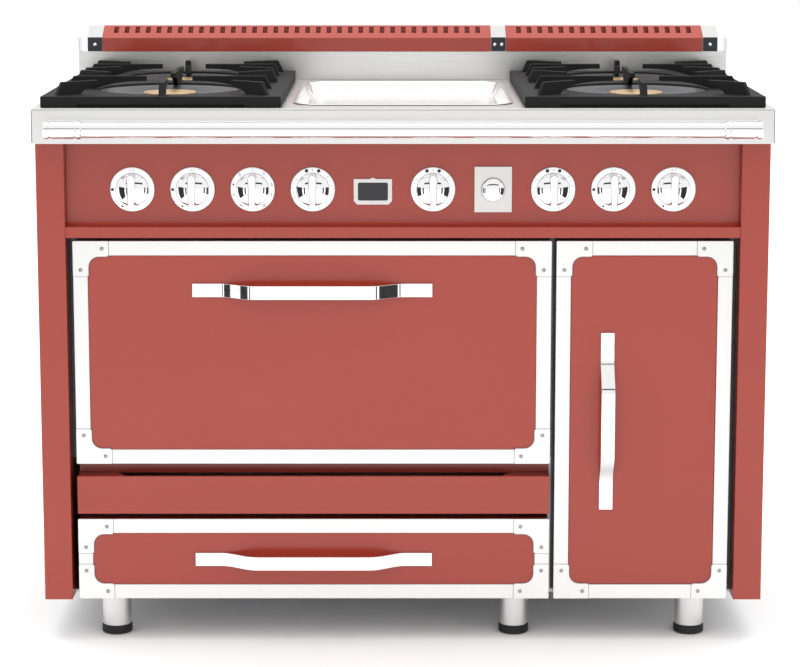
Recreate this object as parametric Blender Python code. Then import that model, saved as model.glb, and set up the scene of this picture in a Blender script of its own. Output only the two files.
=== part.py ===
"""Freestanding gas range with two ovens, a storage drawer, a four-burner hob and a centre griddle.

Metres, +Z up. X runs across the front, and -Y is the front. The origin is on the floor,
under the middle of the whole appliance's bounding box.
"""
import math

import bmesh
import bpy
from mathutils import Matrix, Vector

# ---- Whole appliance
WIDTH = 1.216
BODY_DEPTH = 0.610           # front of the posts to the rear edge of the side panels
DECK_HEIGHT = 0.914          # top of the hob
BODY_BOTTOM = 0.074          # underside of the body, above the floor
SHEET = 0.002                # folded steel sheet
FIT = 0.0003                 # gap left between pieces that touch

# ---- Front rail and towel bar
RAIL_HEIGHT = 0.058
RAIL_OVERHANG = 0.039        # rail front, ahead of the posts
BAR_RADIUS = 0.013
BAR_REACH = 0.022            # bar centre, ahead of the rail front
BAR_DROP = 0.033             # bar centre, below the hob's top
BAR_END_INSET = 0.024        # bar end to the side of the appliance
FERRULE_RADIUS = 0.015
FERRULE_LENGTH = 0.061
FERRULE_FLARE = 0.0006       # ferrule groove depth
FERRULE_BAND = 0.004         # raised band at each end of a ferrule
FERRULE_STEP = 0.001         # from a band down into the groove
STANDOFF_RADIUS = 0.007

# ---- Posts and doors
POST_WIDTH = 0.047
POST_RETURN = 0.045          # how far the post's inner side runs back
SIDE_BAY_WIDTH = 0.309       # seam between the doors to the right post
SEAM_GAP = 0.008
DOOR_SIDE_GAP = 0.0105       # between a door and its post
DOOR_SETBACK = 0.007         # trim face, behind the posts' front
DOOR_BACK = 0.040            # rear face of a door, behind the posts' front
TRIM_WIDTH = 0.0245
TRIM_DEPTH = 0.005
TRIM_CORNER = 0.017          # inner rounding of the trim frame
PANEL_RECESS = 0.0012        # painted panel, behind the trim face
PLUG_DEPTH = 0.010           # door liner that enters the oven mouth
PLUG_GAP = 0.006             # between the liner and the oven mouth
CONTROL_HEIGHT = 0.161
DOOR_TOP_GAP = 0.006
DRAWER_HEIGHT = 0.139
DRAWER_GAP = 0.009           # drawer front to the vent bar above it
VENT_BAR_HEIGHT = 0.065
VENT_RECESS = 0.022          # vent bar to the oven door above it
VENT_CUT_INSETS = (0.082, 0.062)    # ends of the vent's cut-out, front and rear, from the bar's ends
OVEN_HINGE_INSET = (0.023, 0.007)   # hinge line: behind the door face, above its lower edge
SIDE_HINGE_INSET = (0.017, 0.012)   # hinge line: behind the door face, inside its right edge

# ---- Ovens
FLANGE_SETBACK = 0.046       # oven front flange, behind the posts' front
OVEN_MARGIN = 0.040          # oven mouth to the sides of its bay
OVEN_SILL = 0.030            # oven mouth to the door's top and bottom edges
OVEN_WALL = 0.003
OVEN_REAR_GAP = 0.070        # oven back wall to the rear of the body
OVEN_CORNER = 0.020
PARTITION = 0.012
RACK_THICKNESS = 0.006
RACK_BAR = 0.005
RACK_PITCH = 0.056
RACK_HEIGHTS = (0.480, 0.330)       # main oven, side oven
LEDGE_DEPTH = 0.010
RACK_SIDE_GAP = 0.004
RACK_END_GAP = 0.030

# ---- Drawer box and runners
DRAWER_SIDE_GAP = 0.030
DRAWER_FLOOR = 0.011         # drawer box, above the body's underside
DRAWER_WALL = 0.003
DRAWER_HEADROOM = 0.016      # top of the box, below the top of its front
RUNNER_WIDTH = 0.010

# ---- Controls
CONTROL_COUNT = 10
CONTROL_END_MARGIN = 0.1107  # first control to the inner side of its post
CONTROL_DROP = 0.082         # control centres, below the rail
PANEL_SETBACK = 0.020        # control panel face, behind its lip
LIP_HEIGHT = 0.018
COVE_HEIGHT = 0.010
COVE_STEPS = 8
BEZEL_RADIUS = 0.0375
BEZEL_THICKNESS = 0.003
KNOB_RADIUS = 0.0275
KNOB_SKIRT = 0.010
KNOB_HEIGHT = 0.025
KNOB_EDGE = 0.6              # height of the knob's upright edge, as a share of its skirt
KNOB_SHOULDER = (0.9, 0.6)   # radii of the knob's skirt and dome, as shares of its own
KNOB_DOME = 1.5              # height of the dome, in skirts
LEVER_LENGTH = 0.054
LEVER_WIDTH = 0.016
LEVER_CROWN = 0.75           # front of the lever, as a share of its width
STEM_RADIUS = 0.004
STEM_HOLE = 0.0055
STEM_LENGTH = 0.030
PLATE_SIZE = (0.062, 0.076)
PLATE_THICKNESS = 0.003
BUTTON_RADIUS = 0.019
BUTTON_HOLE_GAP = 0.0008
BUTTON_HEIGHT = 0.009
BUTTON_STEM = 0.010
BUTTON_DOME = ((1.0, 0.6), (0.9, 0.85), (0.5, 1.0))     # radius and height, as shares of its own
ROUND_STEPS = 20
SWITCH_SLOT = 6              # places along the row, counted from 0 at the left
BADGE_SLOT = 4               # left plain, for a badge
KNOB_NAMES = {0: "burner_left_rear", 1: "burner_left_front", 2: "oven_mode", 3: "oven_heat", 5: "griddle",
              7: "side_oven", 8: "burner_right_front", 9: "burner_right_rear"}

# ---- Strap handles
STRAP_THICKNESS = 0.004
STRAP_REACH = 0.028          # grip, ahead of the end tabs
MAIN_STRAP = {"length": 0.401, "tab": 0.044, "bend": 0.063, "width": 0.023}
SIDE_STRAP = {"length": 0.304, "tab": 0.046, "bend": 0.055, "width": 0.023}
OVEN_STRAP_DROP = 0.083      # strap centre, below the oven door's top
DRAWER_STRAP_DROP = 0.070
SIDE_STRAP_INSET = 0.087     # strap centre, from the side door's left edge
SIDE_STRAP_RISE = 0.0005     # strap centre, above the side door's middle

# ---- Hob
GRIDDLE_WIDTH = 0.360
GRIDDLE_FRONT = 0.020        # griddle well front, behind the posts' front
GRIDDLE_REAR_GAP = 0.080     # griddle well to the riser
GRIDDLE_DEPTH = 0.021
GRIDDLE_CORNER = 0.045
GRIDDLE_RIM = 0.004
GRIDDLE_SLOPE = 0.008        # how far the well narrows at its floor
GRIDDLE_WALL = 0.002
GRATE_SIDE_GAP = 0.013
GRATE_INNER_GAP = 0.020      # grate to the griddle well
GRATE_FRONT = -0.020         # behind the posts' front
GRATE_REAR_GAP = 0.027       # grate to the riser
GRATE_PLATE = 0.0177
GRATE_SLOT = (0.004, 0.060)  # air slot under the plate's front: height, inset from each side
FIN_HEIGHT = 0.0215
FIN_WIDTH = 0.0085
FIN_TIP = 0.0085
FIN_RAKE = 0.012
FIN_ROOT = 0.045             # length of a fin's foot on the plate
FIN_SIDE_INSET = 0.022       # outer ends of the side fins, inside the grate
FIN_END_INSET = 0.008
LONG_FIN_NEAR = 0.039        # tips of the side fins, from the burner's centre
CROSS_FIN_NEAR = (0.072, 0.060)
SHORT_FIN = 0.080            # length of a corner fin
FIN_SINK = 0.002             # fins, set into the plate
FIN_ARCH = ((0.4, 1.4), (0.8, 2.0))     # share of the way to the foot, depth in tips
FIN_FOOT_LIMIT = 0.92        # longest foot, as a share of its fin
GRATE_ROUND = 0.004          # corners of the plate
BOWL_MARGINS = (0.043, 0.013)       # openings to the grate's front and rear edges
BOWL_WEB = 0.057             # plate between the front and rear openings
BOWL_PARTS = (0.122, 0.104)  # front and rear openings' parts of the rest of the grate's length
BOWL_DROP = 0.001            # burner rim, below the feet of the fins
BOWL_GAP = 0.0015
BOWL_LIP = 0.004
BOWL_FLOOR = 0.004
HEAD_MARGIN = 0.012          # flat ring of the bowl round the burner head
HEAD_SHARE = 0.86            # burner head's radius, as a share of its cap's
CAP_RADII = (0.0465, 0.0325)
CAP_THICKNESS = 0.007
CAP_CHAMFERS = (0.002, 0.001)       # heights of the cap's lower and upper chamfers
CAP_FACES = (0.96, 0.97)     # radii of its lower and upper faces, as shares of its own
CAP_TOP = 0.013              # burner cap top, above the hob
HEAD_THROAT = 0.022          # burner neck radius, through the hob
THROAT_GAP = 0.001
THROAT_LENGTH = 0.030

# ---- Riser and rear vents
RISER_DEPTH = 0.038
RISER_HEIGHT = 0.052         # shelf of the riser, above the hob
VENT_FACE = 0.0255
VENT_RISE = 0.0215           # sloped top, front to back
RISER_TOP = 0.077            # end flanges of the riser, above the hob
BRACKET = 0.028
BRACKET_HEIGHT = 0.0275
BRACKET_END_INSET = 0.017    # outer brackets to the sides
MIDDLE_BRACKET_X = 0.1795
VENT_SLOT = 0.0087
VENT_PITCH = 0.020
VENT_SLOT_REACH = (0.40, 0.88)      # slots, from and to, as shares of the slope's depth

# ---- Feet and gas line
FOOT_RADIUS = 0.0245
FOOT_BASE_HEIGHT = 0.015
FOOT_BASE_RADIUS = 0.026
FOOT_RIB = 0.0015            # depth of the base's groove
FOOT_SETBACK = 0.063
FOOT_END_INSET = 0.1145      # outer feet to the sides
FOOT_SEAM_INSET = 0.061      # middle feet, left of the seam between the doors
GAS_PIPE_RADIUS = 0.008
GAS_HOLE_RADIUS = 0.012
GAS_PIPE_SETBACK = 0.070
BACK_PANEL_INSET = 0.028     # back panel, ahead of the side panels' rear edges

# ---- Derived places
HALF = WIDTH / 2
FRONT_REACH = RAIL_OVERHANG + BAR_REACH + FERRULE_RADIUS
POST_FRONT = FRONT_REACH - (BODY_DEPTH + FRONT_REACH) / 2
REAR = POST_FRONT + BODY_DEPTH
RAIL_FRONT = POST_FRONT - RAIL_OVERHANG
RAIL_BOTTOM = DECK_HEIGHT - RAIL_HEIGHT
RISER_FRONT = REAR - RISER_DEPTH
BAY_LEFT = -HALF + POST_WIDTH
BAY_RIGHT = HALF - POST_WIDTH
SEAM = BAY_RIGHT - SIDE_BAY_WIDTH
DOOR_FACE = POST_FRONT + DOOR_SETBACK
DOOR_REAR = POST_FRONT + DOOR_BACK
OVEN_FACE = POST_FRONT + FLANGE_SETBACK
OVEN_REAR = REAR - OVEN_REAR_GAP
CONTROL_BOTTOM = RAIL_BOTTOM - CONTROL_HEIGHT
DOOR_TOP = CONTROL_BOTTOM - DOOR_TOP_GAP
DRAWER_TOP = BODY_BOTTOM + DRAWER_HEIGHT
VENT_BOTTOM = DRAWER_TOP + DRAWER_GAP
VENT_TOP = VENT_BOTTOM + VENT_BAR_HEIGHT
OVEN_BOTTOM = VENT_TOP + VENT_RECESS
SIDE_OVEN_BOTTOM = BODY_BOTTOM + 2 * SHEET
MAIN_SPAN = (BAY_LEFT + DOOR_SIDE_GAP, SEAM - SEAM_GAP / 2)
SIDE_SPAN = (SEAM + SEAM_GAP / 2, BAY_RIGHT - DOOR_SIDE_GAP)
CONTROL_FACE = POST_FRONT + PANEL_SETBACK
CONTROL_Z = RAIL_BOTTOM - CONTROL_DROP
CONTROL_PITCH = (BAY_RIGHT - BAY_LEFT - 2 * CONTROL_END_MARGIN) / (CONTROL_COUNT - 1)
GRATE_Y = (POST_FRONT + GRATE_FRONT, RISER_FRONT - GRATE_REAR_GAP)
GRATE_X = (GRIDDLE_WIDTH / 2 + GRATE_INNER_GAP, HALF - GRATE_SIDE_GAP)
BURNER_X = sum(GRATE_X) / 2
BOWL_ROOM = (GRATE_Y[1] - GRATE_Y[0] - sum(BOWL_MARGINS) - BOWL_WEB) / 2
BOWL_RADII = tuple(BOWL_ROOM * part / sum(BOWL_PARTS) for part in BOWL_PARTS)
BURNER_Y = (GRATE_Y[0] + BOWL_MARGINS[0] + BOWL_RADII[0], GRATE_Y[1] - BOWL_MARGINS[1] - BOWL_RADII[1])
GRATE_TOP = DECK_HEIGHT + FIT + GRATE_PLATE
SHELF_Z = DECK_HEIGHT + RISER_HEIGHT

# ---- Looks: colour, metallic, roughness
RED = ((0.42, 0.10, 0.075), 0.0, 0.35)
STEEL = ((0.62, 0.61, 0.60), 1.0, 0.32)
POLISHED = ((0.80, 0.80, 0.79), 1.0, 0.16)
CHROME = ((0.86, 0.86, 0.87), 1.0, 0.06)
IRON = ((0.018, 0.019, 0.021), 0.0, 0.65)
BRASS = ((0.80, 0.58, 0.25), 1.0, 0.30)
ENAMEL = ((0.022, 0.024, 0.030), 0.0, 0.30)
GALVANISED = ((0.50, 0.51, 0.52), 1.0, 0.45)
FACEPLATE = ((0.85, 0.85, 0.83), 0.6, 0.35)


# ---- Making solids
def clear_scene():
    """Remove the start-up objects."""
    for obj in list(bpy.data.objects):
        bpy.data.objects.remove(obj)


def control_x(slot):
    """Place along X of one slot in the row of controls."""
    return BAY_LEFT + CONTROL_END_MARGIN + slot * CONTROL_PITCH


def paint(name, look):
    """A plain material of one look."""
    material = bpy.data.materials.new(name)
    material.use_nodes = True
    shader = material.node_tree.nodes["Principled BSDF"]
    colour, metallic, roughness = look
    shader.inputs["Base Color"].default_value = (*colour, 1.0)
    shader.inputs["Metallic"].default_value = metallic
    shader.inputs["Roughness"].default_value = roughness
    return material


def finish(name, bm, look):
    """Turn a bmesh into a named object with its own material."""
    bmesh.ops.recalc_face_normals(bm, faces=bm.faces)
    mesh = bpy.data.meshes.new(name)
    bm.to_mesh(mesh)
    bm.free()
    obj = bpy.data.objects.new(name, mesh)
    bpy.context.collection.objects.link(obj)
    mesh.materials.append(paint(name, look))
    return obj


def box(low, high):
    """A rectangular block between two corners, as a bmesh."""
    bm = bmesh.new()
    bmesh.ops.create_cube(bm, size=1.0)
    low, high = Vector(low), Vector(high)
    bmesh.ops.scale(bm, vec=high - low, verts=bm.verts)
    bmesh.ops.translate(bm, vec=(low + high) / 2, verts=bm.verts)
    return bm


def extrude(points, axis, low, high):
    """An outline extruded along X, Y or Z; points are the other two coordinates in order."""
    index = "XYZ".index(axis)
    bm = bmesh.new()
    corners = []
    for point in points:
        place = list(point)
        place.insert(index, low)
        corners.append(bm.verts.new(place))
    cap = bm.faces.new(corners)
    moved = bmesh.ops.extrude_face_region(bm, geom=[cap])["geom"]
    step = Vector((0, 0, 0))
    step[index] = high - low
    bmesh.ops.translate(bm, vec=step, verts=[v for v in moved if isinstance(v, bmesh.types.BMVert)])
    return bm


def rounded(low, high, radius, segments=4):
    """A rectangle's outline with round corners, as (u, v) points in order."""
    points = []
    for corner in range(4):
        at_high = (corner in (0, 3), corner in (0, 1))
        centre = [high[i] - radius if at_high[i] else low[i] + radius for i in (0, 1)]
        for step in range(segments + 1):
            angle = math.pi / 2 * (corner + step / segments)
            points.append((centre[0] + radius * math.cos(angle),
                           centre[1] + radius * math.sin(angle)))
    return points


def grown(span_u, span_v, amount):
    """A rectangle's two corners, moved outwards by amount."""
    return ((span_u[0] - amount, span_v[0] - amount), (span_u[1] + amount, span_v[1] + amount))


def loft(stations, axis, closed=False):
    """Bridge outlines of equal point counts, each at its place along axis."""
    index = "XYZ".index(axis)
    bm = bmesh.new()
    loops = []
    for points, place in stations:
        loop = []
        for point in points:
            corner = list(point)
            corner.insert(index, place)
            loop.append(bm.verts.new(corner))
        loops.append(loop)
    pairs = list(zip(loops, loops[1:]))
    if closed:
        pairs.append((loops[-1], loops[0]))
    else:
        bm.faces.new(loops[0])
        bm.faces.new(reversed(loops[-1]))
    count = len(loops[0])
    for first, second in pairs:
        for i in range(count):
            j = (i + 1) % count
            bm.faces.new((first[i], second[i], second[j], first[j]))
    return bm


def circle(radius, steps):
    """Points round a circle."""
    angles = [2 * math.pi * i / steps for i in range(steps)]
    return [(radius * math.cos(a), radius * math.sin(a)) for a in angles]


def turned(profile, centre, axis="Z", steps=ROUND_STEPS):
    """Revolve (radius, height) points about an axis through centre."""
    bm = loft([(circle(radius, steps), height) for radius, height in profile], "Z")
    if axis == "Y":
        bmesh.ops.rotate(bm, matrix=Matrix.Rotation(math.radians(90), 3, "X"), verts=bm.verts)
    if axis == "X":
        bmesh.ops.rotate(bm, matrix=Matrix.Rotation(math.radians(90), 3, "Y"), verts=bm.verts)
    bmesh.ops.translate(bm, vec=centre, verts=bm.verts)
    return bm


def combine(obj, tools, operation):
    """Join ("UNION") or cut ("DIFFERENCE") an object with tool solids, and keep the result."""
    helpers = []
    for bm in tools:
        helper = finish("tool", bm, IRON)
        modifier = obj.modifiers.new("join", "BOOLEAN")
        modifier.operation = operation
        modifier.object = helper
        helpers.append(helper)
    bpy.context.view_layer.update()
    evaluated = obj.evaluated_get(bpy.context.evaluated_depsgraph_get())
    mesh = bpy.data.meshes.new_from_object(evaluated)
    obj.modifiers.clear()
    obj.data = mesh
    while len(mesh.materials) > 1:
        mesh.materials.pop()
    for helper in helpers:
        bpy.data.objects.remove(helper)
    return obj


def hang(name, place, objects):
    """Parent moving pieces to an empty on their joint's axis."""
    empty = bpy.data.objects.new(name, None)
    bpy.context.collection.objects.link(empty)
    empty.location = place
    for obj in objects:
        obj.data.transform(Matrix.Translation(-Vector(place)))
        obj.parent = empty


def smooth(obj, degrees=35):
    """Shade round pieces smooth, with sharp edges kept."""
    obj.data.shade_smooth()
    obj.data.set_sharp_from_angle(angle=math.radians(degrees))
    return obj


# ---- Body
def side_panel(name, side):
    """An outer side sheet, folded round its front edge into a post."""
    outer, inner = side * HALF, side * (HALF - POST_WIDTH)
    t = side * SHEET
    back = POST_FRONT + POST_RETURN
    outline = [(outer, POST_FRONT), (outer, REAR), (outer - t, REAR), (outer - t, POST_FRONT + SHEET),
               (inner + t, POST_FRONT + SHEET), (inner + t, back), (inner, back), (inner, POST_FRONT)]
    return finish(name, extrude(outline, "Z", BODY_BOTTOM, RAIL_BOTTOM - FIT), RED)


def chassis():
    """Floor, partition between the ovens, and the drawer's runner rails, in one welded section."""
    edge = HALF - SHEET - FIT
    low, top = BODY_BOTTOM, BODY_BOTTOM + 2 * SHEET
    rail_top = BODY_BOTTOM + DRAWER_FLOOR - FIT
    left_rail = MAIN_SPAN[0] + DRAWER_SIDE_GAP + RUNNER_WIDTH
    right_rail = MAIN_SPAN[1] - DRAWER_SIDE_GAP - 2 * RUNNER_WIDTH
    wall = (SEAM - PARTITION / 2, SEAM + PARTITION / 2)
    outline = [(-edge, low), (edge, low), (edge, top), (wall[1], top), (wall[1], DOOR_TOP),
               (wall[0], DOOR_TOP), (wall[0], top)]
    for rail in (right_rail, left_rail):
        rail_end = rail + RUNNER_WIDTH
        outline += [(rail_end, top), (rail_end, rail_top), (rail, rail_top), (rail, top)]
    outline.append((-edge, top))
    front = OVEN_FACE + SHEET + FIT
    rear = REAR - BACK_PANEL_INSET - FIT
    return finish("chassis", extrude(outline, "Y", front, rear), GALVANISED)


def gas_pipe_x():
    """Where the gas line turns back, inside the right side panel."""
    return HALF - POST_WIDTH / 2


def back_panel():
    """The rear sheet, with a hole for the gas inlet."""
    y = REAR - BACK_PANEL_INSET
    edge = HALF - SHEET - FIT
    top = DECK_HEIGHT - SHEET - FIT
    sheet = finish("back_panel", box((-edge, y, BODY_BOTTOM), (edge, y + SHEET, top)), GALVANISED)
    place = (gas_pipe_x(), y + SHEET, CONTROL_Z)
    hole = turned([(GAS_HOLE_RADIUS, -SHEET), (GAS_HOLE_RADIUS, 2 * SHEET)], place, "Y", 12)
    return combine(sheet, [hole], "DIFFERENCE")


def gas_manifold():
    """A pipe behind the controls that runs back to the inlet."""
    curve = bpy.data.curves.new("gas_manifold", "CURVE")
    curve.dimensions = "3D"
    curve.bevel_depth = GAS_PIPE_RADIUS
    curve.bevel_resolution = 2
    curve.use_fill_caps = True
    y = POST_FRONT + GAS_PIPE_SETBACK
    bend = 4 * GAS_PIPE_RADIUS
    turn = gas_pipe_x()
    points = [(control_x(0), y, CONTROL_Z)]
    for step in range(6):
        angle = math.pi / 2 * step / 5
        points.append((turn - bend + bend * math.sin(angle), y + bend - bend * math.cos(angle), CONTROL_Z))
    points.append((turn, REAR - SHEET, CONTROL_Z))
    spline = curve.splines.new("POLY")
    spline.points.add(len(points) - 1)
    for target, point in zip(spline.points, points):
        target.co = (*point, 1.0)
    obj = bpy.data.objects.new("gas_manifold", curve)
    bpy.context.collection.objects.link(obj)
    curve.materials.append(paint("gas_manifold", BRASS))


def foot(name, x, y):
    """A steel sleeve on a ribbed base."""
    base, r, rib = FOOT_BASE_HEIGHT, FOOT_BASE_RADIUS, FOOT_RIB
    profile = [(r - 2 * rib, 0), (r, rib), (r, 4 * rib), (r - rib, 5 * rib), (r, 6 * rib),
               (r - rib / 2, base), (FOOT_RADIUS, base), (FOOT_RADIUS, BODY_BOTTOM - FIT)]
    return smooth(finish(name, turned(profile, (x, y, 0), steps=16), STEEL))


def feet():
    """Three feet in front and three behind."""
    places = {"left": -HALF + FOOT_END_INSET, "middle": SEAM - FOOT_SEAM_INSET, "right": HALF - FOOT_END_INSET}
    for where, x in places.items():
        foot("foot_front_" + where, x, POST_FRONT + FOOT_SETBACK)
        foot("foot_rear_" + where, x, REAR - FOOT_SETBACK)


# ---- Ovens
def mouth(span, low, high):
    """The inside of an oven's mouth: its X span and its Z span."""
    return ((span[0] + OVEN_MARGIN, span[1] - OVEN_MARGIN), (low + OVEN_SILL, high - OVEN_SILL))


def oven_cavity(name, bay, low, shelf):
    """An enamelled box, open at the front, with a flange and a pair of rack ledges."""
    span, height = mouth(bay, low, DOOR_TOP)
    flange_u = (bay[0] + FIT, bay[1] - FIT)
    flange_v = (low + SHEET, CONTROL_BOTTOM - SHEET)
    inner = rounded(*grown(span, height, 0), OVEN_CORNER)
    outer = rounded(*grown(span, height, OVEN_WALL), OVEN_CORNER + OVEN_WALL)
    flange = rounded(*grown(flange_u, flange_v, 0), SHEET)
    stations = [(inner, OVEN_REAR - OVEN_WALL), (inner, OVEN_FACE), (flange, OVEN_FACE),
                (flange, OVEN_FACE + SHEET), (outer, OVEN_FACE + SHEET), (outer, OVEN_REAR)]
    cavity = finish(name, loft(stations, "Y"), ENAMEL)
    top = shelf - FIT
    front, rear = rack_depth()
    ledges = []
    for wall, side in ((span[0], 1), (span[1], -1)):
        ends = sorted((wall - side * OVEN_WALL / 2, wall + side * LEDGE_DEPTH))
        ledges.append(box((ends[0], front, top - OVEN_WALL), (ends[1], rear, top)))
    return combine(cavity, ledges, "UNION")


def rack_depth():
    """Front and rear of the oven racks."""
    return OVEN_FACE + RACK_END_GAP, OVEN_REAR - OVEN_WALL - RACK_END_GAP


def oven_rack(name, bay, low, shelf):
    """A wire rack: a frame, one cross bar and evenly spaced bars, front to back."""
    span, _ = mouth(bay, low, DOOR_TOP)
    x0, x1 = span[0] + RACK_SIDE_GAP, span[1] - RACK_SIDE_GAP
    y0, y1 = rack_depth()
    gaps = round((x1 - x0) / RACK_PITCH)
    opening = (x1 - x0 - RACK_BAR * (gaps + 1)) / gaps
    middle = (y0 + y1) / 2
    bm = box((x0, y0, shelf), (x1, y1, shelf + RACK_THICKNESS))
    cuts = []
    for i in range(gaps):
        left = x0 + RACK_BAR + i * (opening + RACK_BAR)
        cuts += [(left, "x"), (left + opening, "x")]
    rows = (y0 + RACK_BAR, middle - RACK_BAR / 2, middle + RACK_BAR / 2, y1 - RACK_BAR)
    cuts += [(row, "y") for row in rows]
    for place, way in cuts:
        geom = bm.verts[:] + bm.edges[:] + bm.faces[:]
        point = (place, 0, 0) if way == "x" else (0, place, 0)
        normal = (1, 0, 0) if way == "x" else (0, 1, 0)
        bmesh.ops.bisect_plane(bm, geom=geom, dist=1e-6, plane_co=point, plane_no=normal)
    holes = [f for f in bm.faces if abs(f.normal.z) > 0.9 and in_opening(f, x0, opening, (y0, middle, y1))]
    bridge_openings(bm, holes)
    bmesh.ops.dissolve_limit(bm, angle_limit=math.radians(1), verts=bm.verts, edges=bm.edges)
    return finish(name, bm, CHROME)


def in_opening(face, x0, opening, rows):
    """Whether a face of the rack's slab lies over an opening rather than over a bar."""
    centre = face.calc_center_median()
    along = (centre.x - x0) % (opening + RACK_BAR)
    clear_x = along > RACK_BAR
    near_bar = min(abs(centre.y - row) for row in rows)
    return clear_x and near_bar > RACK_BAR


def bridge_openings(bm, faces):
    """Replace matching faces above and below with the walls of a through hole."""
    pairs = {}
    for face in faces:
        centre = face.calc_center_median()
        pairs.setdefault((round(centre.x, 4), round(centre.y, 4)), []).append(face)
    for top, bottom in pairs.values():
        edges = list(top.edges) + list(bottom.edges)
        bmesh.ops.delete(bm, geom=[top, bottom], context="FACES_ONLY")
        bmesh.ops.bridge_loops(bm, edges=edges)


# ---- Doors and drawer
def trim(name, span, height):
    """A polished frame round the edge of a door's face."""
    outer = rounded(*grown(span, height, 0), SHEET)
    inner = rounded(*grown(span, height, -TRIM_WIDTH), TRIM_CORNER)
    rear = DOOR_FACE + TRIM_DEPTH
    stations = [(outer, DOOR_FACE), (inner, DOOR_FACE), (inner, rear), (outer, rear)]
    return finish(name, loft(stations, "Y", closed=True), POLISHED)


def door_leaf(name, span, height, liner=None):
    """A painted door whose raised panel fills its trim; liner is the plug at its back."""
    panel = rounded(*grown(span, height, -TRIM_WIDTH - FIT), TRIM_CORNER - FIT)
    edge = rounded(*grown(span, height, -SHEET / 2), SHEET)
    step = DOOR_FACE + TRIM_DEPTH + FIT
    stations = [(panel, DOOR_FACE + PANEL_RECESS), (panel, step), (edge, step), (edge, DOOR_REAR)]
    if liner:
        plug = rounded(*grown(*liner, -PLUG_GAP), OVEN_CORNER - PLUG_GAP)
        stations += [(plug, DOOR_REAR), (plug, DOOR_REAR + PLUG_DEPTH)]
    return finish(name, loft(stations, "Y"), RED)


def strap_outline(length, tab, bend, start):
    """The strap's plan: flat tabs, a smooth bend at each end and a straight grip in front."""
    steps = 5
    path = [(-length / 2, 0.0)]
    for i in range(steps + 1):
        share = i / steps
        lift = STRAP_REACH * (1 - math.cos(math.pi * share)) / 2
        path.append((-length / 2 + tab + bend * share, lift))
    path += [(-u, v) for u, v in reversed(path)]
    front = [(u, start - v - STRAP_THICKNESS) for u, v in path]
    rear = [(u, start - v) for u, v in reversed(path)]
    return front + rear


def strap(name, centre, size, upright=False):
    """A strap handle on the painted face, lying across it or standing up it."""
    start = DOOR_FACE + PANEL_RECESS - FIT
    outline = strap_outline(size["length"], size["tab"], size["bend"], start)
    half = size["width"] / 2
    if upright:
        points = [(y, centre[1] + u) for u, y in outline]
        return finish(name, extrude(points, "X", centre[0] - half, centre[0] + half), POLISHED)
    points = [(centre[0] + u, y) for u, y in outline]
    return finish(name, extrude(points, "Z", centre[1] - half, centre[1] + half), POLISHED)


def oven_door():
    """The main oven's drop-down door."""
    height = (OVEN_BOTTOM, DOOR_TOP)
    liner = mouth((BAY_LEFT, SEAM), OVEN_BOTTOM, DOOR_TOP)
    middle = sum(MAIN_SPAN) / 2
    pieces = [door_leaf("oven_door", MAIN_SPAN, height, liner), trim("oven_door_trim", MAIN_SPAN, height),
              strap("oven_door_handle", (middle, DOOR_TOP - OVEN_STRAP_DROP), MAIN_STRAP)]
    hinge = (middle, DOOR_FACE + OVEN_HINGE_INSET[0], OVEN_BOTTOM + OVEN_HINGE_INSET[1])
    hang("oven_door_hinge", hinge, pieces)


def side_door():
    """The side oven's door, hung on its right edge."""
    height = (BODY_BOTTOM, DOOR_TOP)
    liner = mouth((SEAM, BAY_RIGHT), SIDE_OVEN_BOTTOM, DOOR_TOP)
    middle = sum(height) / 2
    place = (SIDE_SPAN[0] + SIDE_STRAP_INSET, middle + SIDE_STRAP_RISE)
    pieces = [door_leaf("side_door", SIDE_SPAN, height, liner), trim("side_door_trim", SIDE_SPAN, height),
              strap("side_door_handle", place, SIDE_STRAP, upright=True)]
    hinge = (SIDE_SPAN[1] - SIDE_HINGE_INSET[1], DOOR_FACE + SIDE_HINGE_INSET[0], middle)
    hang("side_door_hinge", hinge, pieces)


def drawer():
    """The storage drawer: a front like the doors', with an open box behind."""
    height = (BODY_BOTTOM, DRAWER_TOP)
    front = door_leaf("drawer", MAIN_SPAN, height)
    span_x = (MAIN_SPAN[0] + DRAWER_SIDE_GAP, MAIN_SPAN[1] - DRAWER_SIDE_GAP)
    span_y = (DOOR_REAR - SHEET, OVEN_REAR)
    floor, top = BODY_BOTTOM + DRAWER_FLOOR, DRAWER_TOP - DRAWER_HEADROOM
    outer = rounded(*grown(span_x, span_y, 0), DRAWER_WALL, 1)
    inner = rounded(*grown(span_x, span_y, -DRAWER_WALL), DRAWER_WALL, 1)
    stations = [(outer, floor), (outer, top), (inner, top), (inner, floor + DRAWER_WALL)]
    combine(front, [loft(stations, "Z")], "UNION")
    middle = sum(MAIN_SPAN) / 2
    pieces = [front, trim("drawer_trim", MAIN_SPAN, height),
              strap("drawer_handle", (middle, DRAWER_TOP - DRAWER_STRAP_DROP), MAIN_STRAP)]
    hang("drawer_slide", (middle, DOOR_FACE, sum(height) / 2), pieces)


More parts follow.
